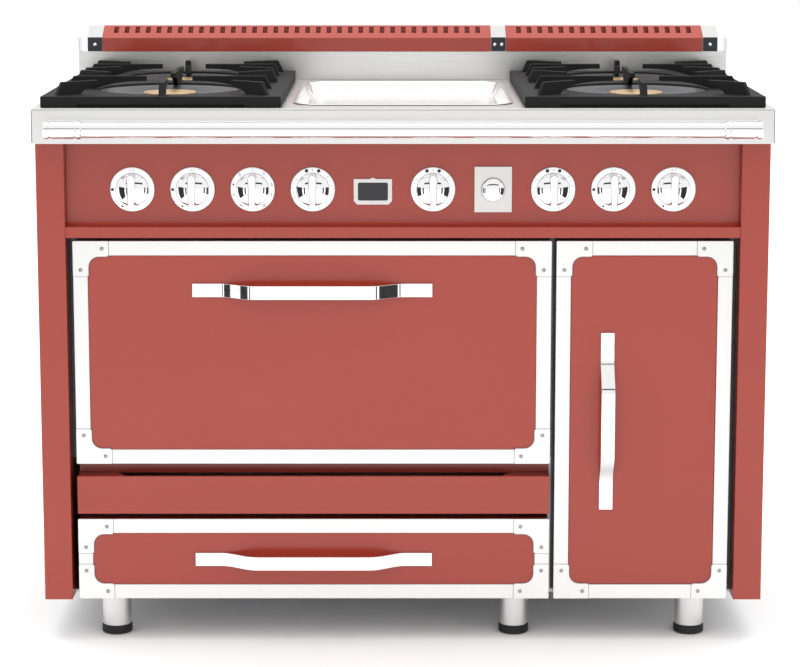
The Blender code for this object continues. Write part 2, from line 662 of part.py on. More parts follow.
def vent_panel():
    """The painted bar under the oven door, with an upright behind the vent recess."""
    y0, y1 = DOOR_FACE, OVEN_FACE - FIT
    t = SHEET
    top, low, crest = VENT_TOP, VENT_BOTTOM, OVEN_BOTTOM + t - FIT
    outline = [(y0, low), (y0, top), (y1 - t, top), (y1 - t, crest), (y1, crest), (y1, top - t),
               (y0 + t, top - t), (y0 + t, low + t), (DOOR_REAR, low + t), (DOOR_REAR, low)]
    bar = finish("vent_panel", extrude(outline, "X", *MAIN_SPAN), RED)
    near, far = VENT_CUT_INSETS
    cut_y = (y0 + 3 * t, y1 - 2 * t)
    slot = [(MAIN_SPAN[0] + near, cut_y[0]), (MAIN_SPAN[1] - near, cut_y[0]),
            (MAIN_SPAN[1] - far, cut_y[1]), (MAIN_SPAN[0] + far, cut_y[1])]
    return combine(bar, [extrude(slot, "Z", top - 2 * t, top + t)], "DIFFERENCE")


# ---- Controls
def control_panel():
    """A folded panel with a flat face, a cove and a lip, and holes for the controls."""
    face, lip, t = CONTROL_FACE, POST_FRONT, SHEET
    lip_top = CONTROL_BOTTOM + LIP_HEIGHT
    angles = [math.pi / 2 * step / COVE_STEPS for step in range(COVE_STEPS + 1)]
    curve = [(PANEL_SETBACK * (math.cos(a) - 1), 1 - math.sin(a)) for a in angles]
    cove = [(face + y, lip_top + COVE_HEIGHT * z) for y, z in curve]
    inner = [(face + t + y, lip_top - t + (COVE_HEIGHT + t) * z) for y, z in reversed(curve)]
    top, low = RAIL_BOTTOM - FIT, CONTROL_BOTTOM
    outline = [(face, top)] + cove + [(lip, low), (face + t, low), (face + t, low + t), (lip + t, low + t)]
    outline += inner + [(face + t, top)]
    span = (BAY_LEFT + FIT, BAY_RIGHT - FIT)
    panel = finish("control_panel", extrude(outline, "X", *span), RED)
    holes = []
    for slot in range(CONTROL_COUNT):
        radius = BUTTON_RADIUS + BUTTON_HOLE_GAP if slot == SWITCH_SLOT else STEM_HOLE
        if slot != BADGE_SLOT:
            place = (control_x(slot), face, CONTROL_Z)
            holes.append(turned([(radius, -2 * t), (radius, 2 * t)], place, "Y"))
    return combine(panel, holes, "DIFFERENCE")


def bezel(name, x):
    """A round dial plate with a hole for the knob's stem."""
    outer, inner = circle(BEZEL_RADIUS, 24), circle(STEM_HOLE, 24)
    rear = CONTROL_FACE - FIT
    front = rear - BEZEL_THICKNESS
    bm = loft([(outer, front), (outer, rear), (inner, rear), (inner, front)], "Y", closed=True)
    bmesh.ops.translate(bm, vec=(x, 0, CONTROL_Z), verts=bm.verts)
    return smooth(finish(name, bm, CHROME))


def knob(name, x):
    """A round knob with a wing lever across it and a stem behind."""
    start = CONTROL_FACE - FIT - BEZEL_THICKNESS - FIT
    r = KNOB_RADIUS
    profile = [(STEM_RADIUS, -STEM_LENGTH), (STEM_RADIUS, 0), (r, 0), (r, KNOB_SKIRT * KNOB_EDGE),
               (r * KNOB_SHOULDER[0], KNOB_SKIRT), (r * KNOB_SHOULDER[1], KNOB_SKIRT * KNOB_DOME)]
    body = finish(name, turned(profile, (x, start, CONTROL_Z), "Y"), CHROME)
    half, end = LEVER_LENGTH / 2, LEVER_WIDTH / 2
    crown = end * LEVER_CROWN
    root_line = rounded((x - end, CONTROL_Z - half), (x + end, CONTROL_Z + half), end * LEVER_CROWN, 2)
    crown_line = rounded((x - crown, CONTROL_Z - half), (x + crown, CONTROL_Z + half), crown * LEVER_CROWN, 2)
    lever = loft([(root_line, start - KNOB_SKIRT / 2), (crown_line, start - KNOB_HEIGHT)], "Y")
    combine(body, [lever], "UNION")
    smooth(body)
    hang(name + "_axis", (x, start, CONTROL_Z), [body])


def controls():
    """Eight knobs on bezels, and a push button on its plate."""
    y = CONTROL_FACE - FIT
    for slot, name in KNOB_NAMES.items():
        bezel("bezel_" + name, control_x(slot))
        knob("knob_" + name, control_x(slot))
    x = control_x(SWITCH_SLOT)
    hole = BUTTON_RADIUS + BUTTON_HOLE_GAP
    half = (PLATE_SIZE[0] / 2, PLATE_SIZE[1] / 2)
    plate = finish("switch_plate", box((x - half[0], y - PLATE_THICKNESS, CONTROL_Z - half[1]),
                                       (x + half[0], y, CONTROL_Z + half[1])), FACEPLATE)
    bore = turned([(hole, -2 * SHEET), (hole, 4 * SHEET)], (x, y, CONTROL_Z), "Y")
    combine(plate, [bore], "DIFFERENCE")
    front = PLATE_THICKNESS + BUTTON_HEIGHT
    dome = [(BUTTON_RADIUS * wide, front * high) for wide, high in BUTTON_DOME]
    profile = [(BUTTON_RADIUS, -BUTTON_STEM)] + dome
    button = smooth(finish("switch_button", turned(profile, (x, y, CONTROL_Z), "Y"), CHROME))
    hang("switch_button_slide", (x, y, CONTROL_Z), [button])


# ---- Hob
def griddle_loop(amount):
    """The griddle well's outline, grown by amount."""
    span = (-GRIDDLE_WIDTH / 2, GRIDDLE_WIDTH / 2)
    depth = (POST_FRONT + GRIDDLE_FRONT, RISER_FRONT - GRIDDLE_REAR_GAP)
    return rounded(*grown(span, depth, amount), GRIDDLE_CORNER + amount)


def hob_deck():
    """The pressed top with its folded front rail and sides, cut for the griddle and burners."""
    t, top = SHEET, DECK_HEIGHT
    flange = CONTROL_FACE + t
    rail = [(RAIL_FRONT, RAIL_BOTTOM), (RAIL_FRONT, top - 2 * t), (RAIL_FRONT + t, top), (REAR, top),
            (REAR, top - t), (RAIL_FRONT + t, top - t), (RAIL_FRONT + t, RAIL_BOTTOM + t),
            (flange, RAIL_BOTTOM + t), (flange, RAIL_BOTTOM)]
    deck = finish("hob_deck", extrude(rail, "X", -HALF, HALF), STEEL)
    sides = [box((min(x, x - s * t), RAIL_FRONT, RAIL_BOTTOM), (max(x, x - s * t), REAR, top - t / 2))
             for s, x in ((-1, -HALF), (1, HALF))]
    combine(deck, sides, "UNION")
    well = griddle_loop(GRIDDLE_WALL + FIT)
    cuts = [loft([(well, top - 2 * t), (well, top + t)], "Z")]
    for _, x, y, _ in burner_places():
        radius = HEAD_THROAT + THROAT_GAP
        cuts.append(turned([(radius, top - 2 * t), (radius, top + t)], (x, y, 0), steps=12))
    return combine(deck, cuts, "DIFFERENCE")


def towel_bar():
    """A bar with grooved ferrules, on two stand-offs screwed to the front rail."""
    y, z = RAIL_FRONT - BAR_REACH, DECK_HEIGHT - BAR_DROP
    end = HALF - BAR_END_INSET
    r, f = BAR_RADIUS, FERRULE_RADIUS
    inner = end - FERRULE_LENGTH
    groove = FERRULE_BAND + FERRULE_STEP
    half = [(r, -inner), (f, -inner), (f, -inner - FERRULE_BAND), (f - FERRULE_FLARE, -inner - groove),
            (f - FERRULE_FLARE, -end + groove), (f, -end + FERRULE_BAND), (f, -end)]
    profile = list(reversed(half)) + [(radius, -place) for radius, place in half]
    bar = finish("towel_bar", turned(profile, (0, y, z), "X"), CHROME)
    posts = []
    for side in (-1, 1):
        place = (side * (end - FERRULE_LENGTH / 2), RAIL_FRONT - FIT, z)
        posts.append(turned([(STANDOFF_RADIUS, 0), (STANDOFF_RADIUS, BAR_REACH - r / 2)], place, "Y", 12))
    combine(bar, posts, "UNION")
    return smooth(bar)


def griddle():
    """A stainless tray with a deep round-cornered well and a rim on the hob."""
    top = DECK_HEIGHT + FIT
    floor = DECK_HEIGHT - GRIDDLE_DEPTH
    w, slope = GRIDDLE_WALL, GRIDDLE_SLOPE
    rim = griddle_loop(GRIDDLE_RIM)
    stations = [(griddle_loop(w - slope), floor - w), (griddle_loop(w), top), (rim, top),
                (rim, top + w), (griddle_loop(0), top + w), (griddle_loop(-slope), floor)]
    return smooth(finish("griddle", loft(stations, "Z"), POLISHED))


def burner_places():
    """Name, X, Y and row (0 front, 1 rear) of each burner."""
    return [(f"{row}_{side}", sign * BURNER_X, BURNER_Y[index], index)
            for side, sign in (("left", -1), ("right", 1)) for index, row in enumerate(("front", "rear"))]


def burners():
    """Each burner: a dished body whose neck passes through the hob, and a brass cap on it."""
    deck = DECK_HEIGHT + FIT
    for name, x, y, row in burner_places():
        bowl, cap = BOWL_RADII[row] - BOWL_GAP, CAP_RADII[row]
        rim = GRATE_TOP - FIN_SINK - BOWL_DROP
        seat = DECK_HEIGHT + CAP_TOP - CAP_THICKNESS - FIT
        head = cap * HEAD_SHARE
        profile = [(HEAD_THROAT, DECK_HEIGHT - THROAT_LENGTH), (HEAD_THROAT, deck), (bowl, deck), (bowl, rim),
                   (bowl - BOWL_LIP, rim), (cap + HEAD_MARGIN, deck + BOWL_FLOOR), (head, deck + BOWL_FLOOR),
                   (head, seat)]
        smooth(finish("burner_" + name, turned(profile, (x, y, 0), steps=24), IRON))
        top = seat + FIT + CAP_THICKNESS
        lid = [(cap * CAP_FACES[0], seat + FIT), (cap, seat + FIT + CAP_CHAMFERS[0]),
               (cap, top - CAP_CHAMFERS[1]), (cap * CAP_FACES[1], top)]
        smooth(finish("burner_cap_" + name, turned(lid, (x, y, 0), steps=24), BRASS))


def fin(centre, direction, near, far):
    """A cast fin that runs from far towards near the burner, with an arch under its tip."""
    top, base = GRATE_TOP + FIN_HEIGHT, GRATE_TOP - FIN_SINK
    root = far - min(FIN_ROOT, FIN_FOOT_LIMIT * (far - near))
    arch = [(near + share * (root - near), top - depth * FIN_TIP) for share, depth in FIN_ARCH]
    side = [(far, base), (far - FIN_RAKE, top), (near, top), (near, top - FIN_TIP)] + arch + [(root, base)]
    bm = extrude(side, "Y", -FIN_WIDTH / 2, FIN_WIDTH / 2)
    bmesh.ops.rotate(bm, cent=(0, 0, 0), matrix=Matrix.Rotation(direction, 3, "Z"), verts=bm.verts)
    bmesh.ops.translate(bm, vec=(centre[0], centre[1], 0), verts=bm.verts)
    return bm


def grate(name, side):
    """A cast plate with two round openings, and fins that rise from it round each burner."""
    span = sorted((side * GRATE_X[0], side * GRATE_X[1]))
    low = DECK_HEIGHT + FIT
    plate = rounded((span[0], GRATE_Y[0]), (span[1], GRATE_Y[1]), GRATE_ROUND, 1)
    body = finish(name, loft([(plate, low), (plate, GRATE_TOP)], "Z"), IRON)
    height, inset = GRATE_SLOT
    cuts = [box((span[0] + inset, GRATE_Y[0] - SHEET, low - SHEET),
                (span[1] - inset, GRATE_Y[0] + 2 * SHEET, low + height))]
    fins = []
    reach = (GRATE_X[1] - GRATE_X[0]) / 2 - FIN_SIDE_INSET
    middle = (BURNER_Y[0] + BOWL_RADII[0] + BURNER_Y[1] - BOWL_RADII[1]) / 2
    for row, y in enumerate(BURNER_Y):
        centre = (side * BURNER_X, y)
        bowl = BOWL_RADII[row]
        cuts.append(turned([(bowl, low - SHEET), (bowl, GRATE_TOP + SHEET)], (*centre, 0), steps=32))
        edge = (GRATE_Y[0] + FIN_END_INSET, GRATE_Y[1] - FIN_END_INSET)[row]
        ahead = -1 if row == 0 else 1
        fins.append(fin(centre, ahead * math.pi / 2, CROSS_FIN_NEAR[0], abs(edge - y)))
        fins.append(fin(centre, -ahead * math.pi / 2, CROSS_FIN_NEAR[1], abs(middle - y) + FIN_WIDTH / 2))
        rise = min(abs(edge - y), abs(middle - y)) - FIN_WIDTH
        angle, length = math.atan2(rise, reach), math.hypot(rise, reach)
        for flip in (0, math.pi):
            fins.append(fin(centre, flip, LONG_FIN_NEAR, reach))
            fins += [fin(centre, flip + turn, length - SHORT_FIN, length) for turn in (angle, -angle)]
    combine(body, cuts, "DIFFERENCE")
    return combine(body, fins, "UNION")


# ---- Riser and rear vents
def riser():
    """The stainless back-guard with end flanges and the three brackets that hold the vents."""
    t = SHEET
    low, top = DECK_HEIGHT + FIT, SHELF_Z
    crest = top + VENT_FACE + VENT_RISE - FIT
    front, back, sunk = RISER_FRONT, REAR - t, top - t / 2
    outline = [(front, low), (front, top), (REAR, top), (REAR, low), (back, low), (back, top - t),
               (front + t, top - t), (front + t, low)]
    guard = finish("riser", extrude(outline, "X", -HALF, HALF), STEEL)
    reach = HALF - BRACKET_END_INSET - t / 2
    tools = [box((-reach, back, sunk), (reach, REAR, crest))]
    for way in (-1, 1):
        ends = sorted((way * HALF, way * (HALF - t)))
        tools.append(box((ends[0], front, low), (ends[1], REAR, DECK_HEIGHT + RISER_TOP)))
    side = [(front, sunk), (front, top + BRACKET_HEIGHT), (REAR - t / 2, crest), (REAR - t / 2, sunk)]
    for x in bracket_places():
        tools.append(extrude(side, "X", x - BRACKET / 2, x + BRACKET / 2))
    return combine(guard, tools, "UNION")


def bracket_places():
    """X of the left, middle and right brackets."""
    edge = HALF - BRACKET_END_INSET - BRACKET / 2
    return (-edge, MIDDLE_BRACKET_X, edge)


def vent_bar(name, low, high):
    """A folded, slotted cover over the flue outlet, between two brackets."""
    z0 = SHELF_Z + FIT
    y0, y1 = RISER_FRONT, REAR - SHEET - FIT
    crest = z0 + VENT_FACE
    slope = [(y0 + share * (y1 - y0), crest + share * VENT_RISE) for share in (0, *VENT_SLOT_REACH, 1)]
    rows = [(y0, z0)] + slope + [(y1, z0)]
    count = int((high - low - VENT_PITCH) // VENT_PITCH)
    first = (low + high - (count - 1) * VENT_PITCH - VENT_SLOT) / 2
    places = [low]
    for i in range(count):
        places += [first + i * VENT_PITCH, first + i * VENT_PITCH + VENT_SLOT]
    places.append(high)
    bm = bmesh.new()
    grid = [[bm.verts.new((x, y, z)) for y, z in rows] for x in places]
    for i, (left, right) in enumerate(zip(grid, grid[1:])):
        for j in range(len(rows) - 1):
            if not (i % 2 == 1 and j == 2):
                bm.faces.new((left[j], right[j], right[j + 1], left[j + 1]))
    bmesh.ops.recalc_face_normals(bm, faces=bm.faces)
    for face in bm.faces:
        if face.calc_center_median().y < y0 + FIT and face.normal.y > 0:
            bmesh.ops.reverse_faces(bm, faces=bm.faces)
            break
    bmesh.ops.solidify(bm, geom=bm.faces[:], thickness=SHEET)
    bmesh.ops.dissolve_limit(bm, angle_limit=math.radians(1), verts=bm.verts, edges=bm.edges)
    return finish(name, bm, RED)


def rear_vents():
    """The left and right vent bars, each between two brackets."""
    left, middle, right = bracket_places()
    half = BRACKET / 2 + FIT
    vent_bar("vent_bar_left", left + half, middle - half)
    vent_bar("vent_bar_right", middle + half, right - half)


def main():
    """Build every piece."""
    clear_scene()
    side_panel("side_panel_left", -1)
    side_panel("side_panel_right", 1)
    chassis()
    back_panel()
    gas_manifold()
    feet()
    main_shelf, side_shelf = RACK_HEIGHTS
    oven_cavity("oven_cavity", (BAY_LEFT, SEAM), OVEN_BOTTOM, main_shelf)
    oven_rack("oven_rack", (BAY_LEFT, SEAM), OVEN_BOTTOM, main_shelf)
    oven_cavity("side_oven_cavity", (SEAM, BAY_RIGHT), SIDE_OVEN_BOTTOM, side_shelf)
    oven_rack("side_oven_rack", (SEAM, BAY_RIGHT), SIDE_OVEN_BOTTOM, side_shelf)
    oven_door()
    side_door()
    drawer()
    vent_panel()
    control_panel()
    controls()
    hob_deck()
    towel_bar()
    griddle()
    burners()
    grate("grate_left", -1)
    grate("grate_right", 1)
    riser()
    rear_vents()


main()
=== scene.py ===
"""Looks of a freestanding gas range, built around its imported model.

Metres, +Z up, -Y to the front. The origin is on the floor, under the middle of the range.
"""

import math

import bmesh
import bpy
from bpy.props import FloatProperty, FloatVectorProperty, IntProperty, PointerProperty
from mathutils import Matrix, Vector


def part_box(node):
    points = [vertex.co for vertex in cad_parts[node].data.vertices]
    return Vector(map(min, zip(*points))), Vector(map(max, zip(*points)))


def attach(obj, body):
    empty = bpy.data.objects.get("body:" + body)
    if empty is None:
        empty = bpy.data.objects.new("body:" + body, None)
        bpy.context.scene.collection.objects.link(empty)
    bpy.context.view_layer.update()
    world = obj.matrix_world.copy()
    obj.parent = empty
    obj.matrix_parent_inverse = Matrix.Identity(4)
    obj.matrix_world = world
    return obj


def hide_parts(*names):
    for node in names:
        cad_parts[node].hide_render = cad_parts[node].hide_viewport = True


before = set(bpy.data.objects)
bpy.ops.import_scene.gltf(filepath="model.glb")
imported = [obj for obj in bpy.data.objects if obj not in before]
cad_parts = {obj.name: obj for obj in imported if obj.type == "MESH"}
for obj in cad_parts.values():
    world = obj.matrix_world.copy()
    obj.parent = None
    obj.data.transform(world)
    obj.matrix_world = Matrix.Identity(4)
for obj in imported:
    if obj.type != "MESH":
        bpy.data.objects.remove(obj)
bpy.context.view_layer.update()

bl_info = {
    "name": "Gas range",
    "version": (1, 0, 0),
    "blender": (4, 5, 0),
    "location": "3D View > Sidebar > Range",
    "description": "Builds the detailed pieces of a freestanding gas range",
    "category": "Object",
}


# ---- Fixed shapes: metres, degrees, or shares of another size
FINE_SHARE = 0.4                # fine noise in a finish, against broad patches
ROUNDED_ABOVE = 30              # edges at least this sharp are rounded
LAP = 0.0001                    # a mark or seam is sunk this far, so that no gap shows
DOOR_GAP = 0.006                # oven doors, ahead of the cavities' face
LEAF_LAP = 0.004                # a door's painted leaf ends this far ahead of its rear
SEAL_SPREAD = 0.012             # gaskets, outside the doors' liners
SEAL_ROUND = 0.022              # gasket corners
RACK_GAP = 0.004                # racks, inside their cavity's walls
LINER_FOOT, LINER_HEAD = 0.028, 0.034   # liners, from a cavity's lower and upper edge
STRAPS = {                      # tab, bend along the strap, and whether it stands upright
    "oven_door": (0.044, 0.063, False),
    "side_door": (0.046, 0.055, True),
    "drawer": (0.044, 0.063, False),
}
STRAP_STEPS = 14
FOOT_RADIUS, FOOT_BASE = 0.0245, 0.015
FOOT_RIBS, FOOT_RIB_PITCH = 4, 0.003
BACK_RIBS, BACK_RIB_START, BACK_RIB_PITCH = 5, 0.12, 0.065
BACK_RIB_INSET, BACK_RIB_WIDTH, BACK_RIB_DEPTH = 0.16, 0.018, 0.004
BACK_SCREWS, BACK_SCREW_RADIUS, BACK_SCREW_INSET, BACK_SCREW_EDGE = 7, 0.004, 0.02, 0.012
RACK_PITCH = 0.028
BEZEL_HOLE = 0.0055
BEZEL_SHADE_RING, BEZEL_SHADE_RING_WIDTH = 0.0277, 0.0006   # painted shade: a dark ring round a knob, in place of the shaded groove there
MARK_RADIUS = 0.0328            # middle of the dial marks
KNOB_LIFT = 0.0003              # knobs, ahead of their bezels
KNOB_EDGE, KNOB_RISE, KNOB_STEPS = 0.0024, 0.0085, 12
LEVER_HEAD, LEVER_FOOT = 0.0088, 0.0068         # half widths
BADGE_CHAMFER, BADGE_CREST, BADGE_THICK = 0.006, 0.0025, 0.002
BADGE_BORDER, BADGE_FIELD = 0.007, 0.0006
RAIL_SEAM = 0.0016
BAR_RADIUS, FERRULE = 0.013, 0.061
POST_RADIUS, POST_FLARE = 0.0068, 0.0095        # the towel bar's stand-offs
GRIDDLE_ROUND, GRIDDLE_SHEET, GRIDDLE_BASE = 0.049, 0.0014, 0.003
DISH_HOLE, DISH_FLAT, DISH_LIFT, DISH_STEPS = 0.022, 0.012, 0.0042, 8
HEAD_SHARE = 0.86               # burner head, against its cap
PLATE_THICK = 0.0177            # a grate's plate
FIN_THICK, FIN_ROOT, FIN_RAKE, FIN_DROP, FIN_STEPS, FIN_CURVE = 0.0085, 0.045, 0.012, 0.0085, 7, 2.6
FIN_SINK = 0.002                # fins, into the plate
PLATE_MARGIN = 0.008            # fins, inside the plate's front and rear edges
BOWL_FRONT, BOWL_REAR = 0.122, 0.104            # radii of a grate's two openings
NOTCH_INSET, NOTCH_RISE = 0.060, 0.004          # the notch under a grate's front edge
BRACKET_WIDTH, BRACKET_RISE, BRACKET_SHEET = 0.027, 0.026, 0.0012
BRACKET_SCREW, BRACKET_SCREW_GAP = 0.0032, 0.013


# ---- Settings
def length(name, text, value):
    """A size in metres that a user can change."""
    return FloatProperty(name=name, description=text, default=value, min=0.0, precision=5, unit="LENGTH",
                         subtype="DISTANCE")


def colour(name, text, value):
    """A colour that a user can change."""
    return FloatVectorProperty(name=name, description=text, default=value, size=3, min=0.0, max=1.0,
                               subtype="COLOR")


class RangeSizes(bpy.types.PropertyGroup):
    """Sizes of the details."""

    fold: length("Fold", "Outer rounding of folded sheet edges", 0.0016)
    edge: length("Edge", "Rounding of trim, plate and strap edges", 0.0007)
    cast: length("Cast edge", "Rounding of cast-iron edges", 0.0011)
    plate_arm: length("Corner plate arm", "Length of a corner plate's arms", 0.060)
    plate_width: length("Corner plate width", "Width of a corner plate's arms", 0.0262)
    plate_round: length("Corner plate round", "Rounding inside a corner plate", 0.017)
    plate_thickness: length("Corner plate thickness", "How proud a corner plate stands", 0.0009)
    # painted shadow: width of the dark rim round a corner plate, standing in for the shade at the plate's edge
    plate_shadow: length("Joint", "Dark line round a corner plate", 0.0007)
    screw_radius: length("Screw radius", "Head radius of the trim screws", 0.0034)
    screw_inset: length("Screw inset", "Screws, from the end of a corner plate's arm", 0.011)
    strap_reach: length("Strap reach", "Grip of a strap handle, ahead of its tabs", 0.028)
    strap_thickness: length("Strap thickness", "Thickness of a strap handle", 0.004)
    wire: length("Rack wire", "Radius of the oven racks' wires", 0.0026)
    gasket: length("Gasket", "Radius of the oven doors' rope gaskets", 0.0024)
    ink: length("Ink", "How proud a dial mark stands", 0.00015)
    badge_width: length("Badge width", "Width of the plain badge", 0.064)
    badge_height: length("Badge height", "Height of the plain badge", 0.043)
    port_count: IntProperty(name="Flame ports", description="Flame ports round a burner head",
                            default=40, min=8)


class RangeColours(bpy.types.PropertyGroup):
    """Colours of the finishes."""

    paint: colour("Paint", "Gloss paint of the panels", (0.330, 0.030, 0.0130))
    stainless: colour("Stainless", "Brushed steel of the hob, riser and feet", (0.76, 0.755, 0.745))
    polished: colour("Polished steel", "Door trim, strap handles and griddle", (0.92, 0.92, 0.915))
    chrome: colour("Chrome", "Knobs, bezels, towel bar and racks", (0.93, 0.93, 0.935))
    iron: colour("Cast iron", "Matt black grates and burners", (0.0068, 0.0076, 0.0095))
    brass: colour("Brass", "Burner caps", (0.80, 0.58, 0.29))
    # enamel also colours the painted shade ring round each knob
    enamel: colour("Enamel", "Oven linings and dark print", (0.016, 0.017, 0.022))
    galvanised: colour("Galvanised", "Chassis and back sheet", (0.50, 0.51, 0.52))
    faceplate: colour("Faceplate", "Switch plate and badge", (0.68, 0.665, 0.65))
    rubber: colour("Base", "Ribbed base of the feet", (0.012, 0.012, 0.013))


class RangeStage(bpy.types.PropertyGroup):
    """The floor, the light and the camera."""

    floor: colour("Floor", "Floor under the range", (0.90, 0.90, 0.90))
    sky: FloatProperty(name="Sky", description="Strength of the surroundings overhead", default=1.8,
                       min=0.0)
    key: FloatProperty(name="Key", description="Power of the soft light above, in watts", default=45.0,
                       min=0.0)
    distance: length("Camera distance", "Camera, in front of the posts", 4.0)
    height: length("Camera height", "Camera, above the floor", 1.2707)
    pitch: FloatProperty(name="Camera pitch", description="Camera, looking down", default=0.1526, precision=4,
                         unit="ROTATION", subtype="ANGLE")
    lens: FloatProperty(name="Lens", description="Focal length in millimetres", default=109.46, min=10.0)
    shift: FloatProperty(name="Lens shift", description="Upward shift of the frame", default=-0.09, precision=3)


# ---- Shaping
def block(low, high):
    """A rectangular block between two corners."""
    bm = bmesh.new()
    bmesh.ops.create_cube(bm, size=1.0)
    low, high = Vector(low), Vector(high)
    bmesh.ops.scale(bm, vec=high - low, verts=bm.verts)
    bmesh.ops.translate(bm, vec=(low + high) / 2, verts=bm.verts)
    return bm


def outline(points, rounds=None, segments=6):
    """A flat face in X and Z through a few corners; rounds gives the corners that are rounded."""
    bm = bmesh.new()
    corners = [bm.verts.new((x, 0, z)) for x, z in points]
    bm.faces.new(corners)
    for index, radius in (rounds or {}).items():
        bmesh.ops.bevel(bm, geom=[corners[index]], offset=radius, offset_type="OFFSET", segments=segments,
                        profile=0.5, affect="VERTICES", clamp_overlap=False, material=-1)
    return bm


def rounded_sheet(span_x, span_z, radius, segments=8):
    """A flat rounded rectangle in X and Z."""
    (x0, x1), (z0, z1) = span_x, span_z
    reach = radius / math.tan(math.pi / 4)
    points = [(x0, z0), (x1, z0), (x1, z1), (x0, z1)]
    return outline(points, {i: reach for i in range(4)}, segments)


def push(bm, step, faces=None):
    """Extrude faces by a step, and return the faces at the far end."""
    moved = bmesh.ops.extrude_face_region(bm, geom=faces or bm.faces[:])["geom"]
    bmesh.ops.translate(bm, vec=step, verts=[v for v in moved if isinstance(v, bmesh.types.BMVert)])
    return [f for f in moved if isinstance(f, bmesh.types.BMFace)]


def turn(bm, degrees, axis):
    """Turn everything about an axis through the origin."""
    bmesh.ops.rotate(bm, matrix=Matrix.Rotation(math.radians(degrees), 3, axis), verts=bm.verts)
    return bm


def move(bm, step):
    """Shift everything by a step."""
    bmesh.ops.translate(bm, vec=step, verts=bm.verts)
    return bm


def lathe(profile, place=(0, 0, 0), facing="Z", steps=64):
    """Spin (radius, height) points about an axis through place; the ends are closed."""
    bm = bmesh.new()
    points = [bm.verts.new((radius, 0, height)) for radius, height in profile]
    edges = [bm.edges.new(pair) for pair in zip(points, points[1:])]
    bmesh.ops.spin(bm, geom=points + edges, cent=(0, 0, 0), axis=(0, 0, 1), angle=2 * math.pi, steps=steps,
                   use_merge=True)
    bmesh.ops.remove_doubles(bm, verts=bm.verts, dist=1e-6)
    bmesh.ops.holes_fill(bm, edges=[e for e in bm.edges if e.is_boundary])
    if facing == "-Y":
        turn(bm, 90, "X")
    if facing == "X":
        turn(bm, 90, "Y")
    return move(bm, place)


def ring_lathe(profile, place=(0, 0, 0), facing="Z", steps=64):
    """Spin a closed loop of (radius, height) points into a ring."""
    return lathe(list(profile) + [profile[0]], place, facing, steps)


def node_shape(node):
    """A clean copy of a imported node's shape."""
    bm = bmesh.new()
    bm.from_mesh(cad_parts[node].data)
    bmesh.ops.remove_doubles(bm, verts=bm.verts, dist=1e-5)
    bmesh.ops.dissolve_limit(bm, angle_limit=math.radians(1), verts=bm.verts, edges=bm.edges)
    return bm


def gather(shapes):
    """Put several shapes into one mesh."""
    whole = bmesh.new()
    for bm in shapes:
        mesh = bpy.data.meshes.new("part")
        bm.to_mesh(mesh)
        bm.free()
        whole.from_mesh(mesh)
        bpy.data.meshes.remove(mesh)
    return whole


def rod(start, end, radius, segments=12):
    """A round bar between two points."""
    start, end = Vector(start), Vector(end)
    bm = bmesh.new()
    bmesh.ops.create_cone(bm, cap_ends=True, segments=segments, radius1=radius, radius2=radius,
                          depth=(end - start).length)
    bmesh.ops.rotate(bm, matrix=(end - start).to_track_quat("Z", "Y").to_matrix(), verts=bm.verts)
    return move(bm, (start + end) / 2)


def piece(name, bm, look, body, stands_for=(), edge=0.0, segments=2, angle=50):
    """Make an object from a shape, and fix it to its body."""
    bmesh.ops.recalc_face_normals(bm, faces=bm.faces)
    mesh = bpy.data.meshes.new(name)
    bm.to_mesh(mesh)
    bm.free()
    obj = bpy.data.objects.new(name, mesh)
    bpy.context.scene.collection.objects.link(obj)
    mesh.materials.append(bpy.data.materials[look])
    mesh.shade_smooth()
    mesh.set_sharp_from_angle(angle=math.radians(angle))
    if edge:
        bevel = obj.modifiers.new("rounding", "BEVEL")
        bevel.width, bevel.segments = edge, segments
        bevel.limit_method, bevel.angle_limit = "ANGLE", math.radians(ROUNDED_ABOVE)
        bevel.use_clamp_overlap = True
    even = obj.modifiers.new("even shading", "WEIGHTED_NORMAL")
    even.keep_sharp = True
    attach(obj, body)
    if stands_for:
        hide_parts(*([stands_for] if isinstance(stands_for, str) else stands_for))
    return obj


def sizes():
    """The sizes that are set now."""
    return bpy.context.scene.range_sizes


# ---- Finishes
def node_group(name, inputs, outputs):
    """An empty shader group with its sockets and its two end nodes."""
    group = bpy.data.node_groups.new(name, "ShaderNodeTree")
    for label, kind, default in inputs:
        socket = group.interface.new_socket(label, in_out="INPUT", socket_type=kind)
        if default is not None:
            socket.default_value = default
    for label, kind in outputs:
        group.interface.new_socket(label, in_out="OUTPUT", socket_type=kind)
    return group, group.nodes.new("NodeGroupInput"), group.nodes.new("NodeGroupOutput")


def math_node(tree, operation, first, second, clamp=False):
    """A Math node fed by sockets or numbers; returns its output."""
    node = tree.nodes.new("ShaderNodeMath")
    node.operation, node.use_clamp = operation, clamp
    for socket, value in zip(node.inputs, (first, second)):
        if isinstance(value, (int, float)):
            socket.default_value = value
        else:
            tree.links.new(value, socket)
    return node.outputs[0]


def noise_node(tree, vector, scale, detail=3.0):
    """A noise texture; returns its value."""
    node = tree.nodes.new("ShaderNodeTexNoise")
    node.inputs["Detail"].default_value = detail
    tree.links.new(vector, node.inputs["Vector"])
    if isinstance(scale, (int, float)):
        node.inputs["Scale"].default_value = scale
    else:
        tree.links.new(scale, node.inputs["Scale"])
    return node.outputs["Fac"]


def mix_colours(tree, factor, first, second):
    """Blend two colour sockets by a value; returns the result."""
    node = tree.nodes.new("ShaderNodeMix")
    node.data_type = "RGBA"
    tree.links.new(factor, node.inputs["Factor"])
    tree.links.new(first, node.inputs["A"])
    tree.links.new(second, node.inputs["B"])
    return node.outputs["Result"]


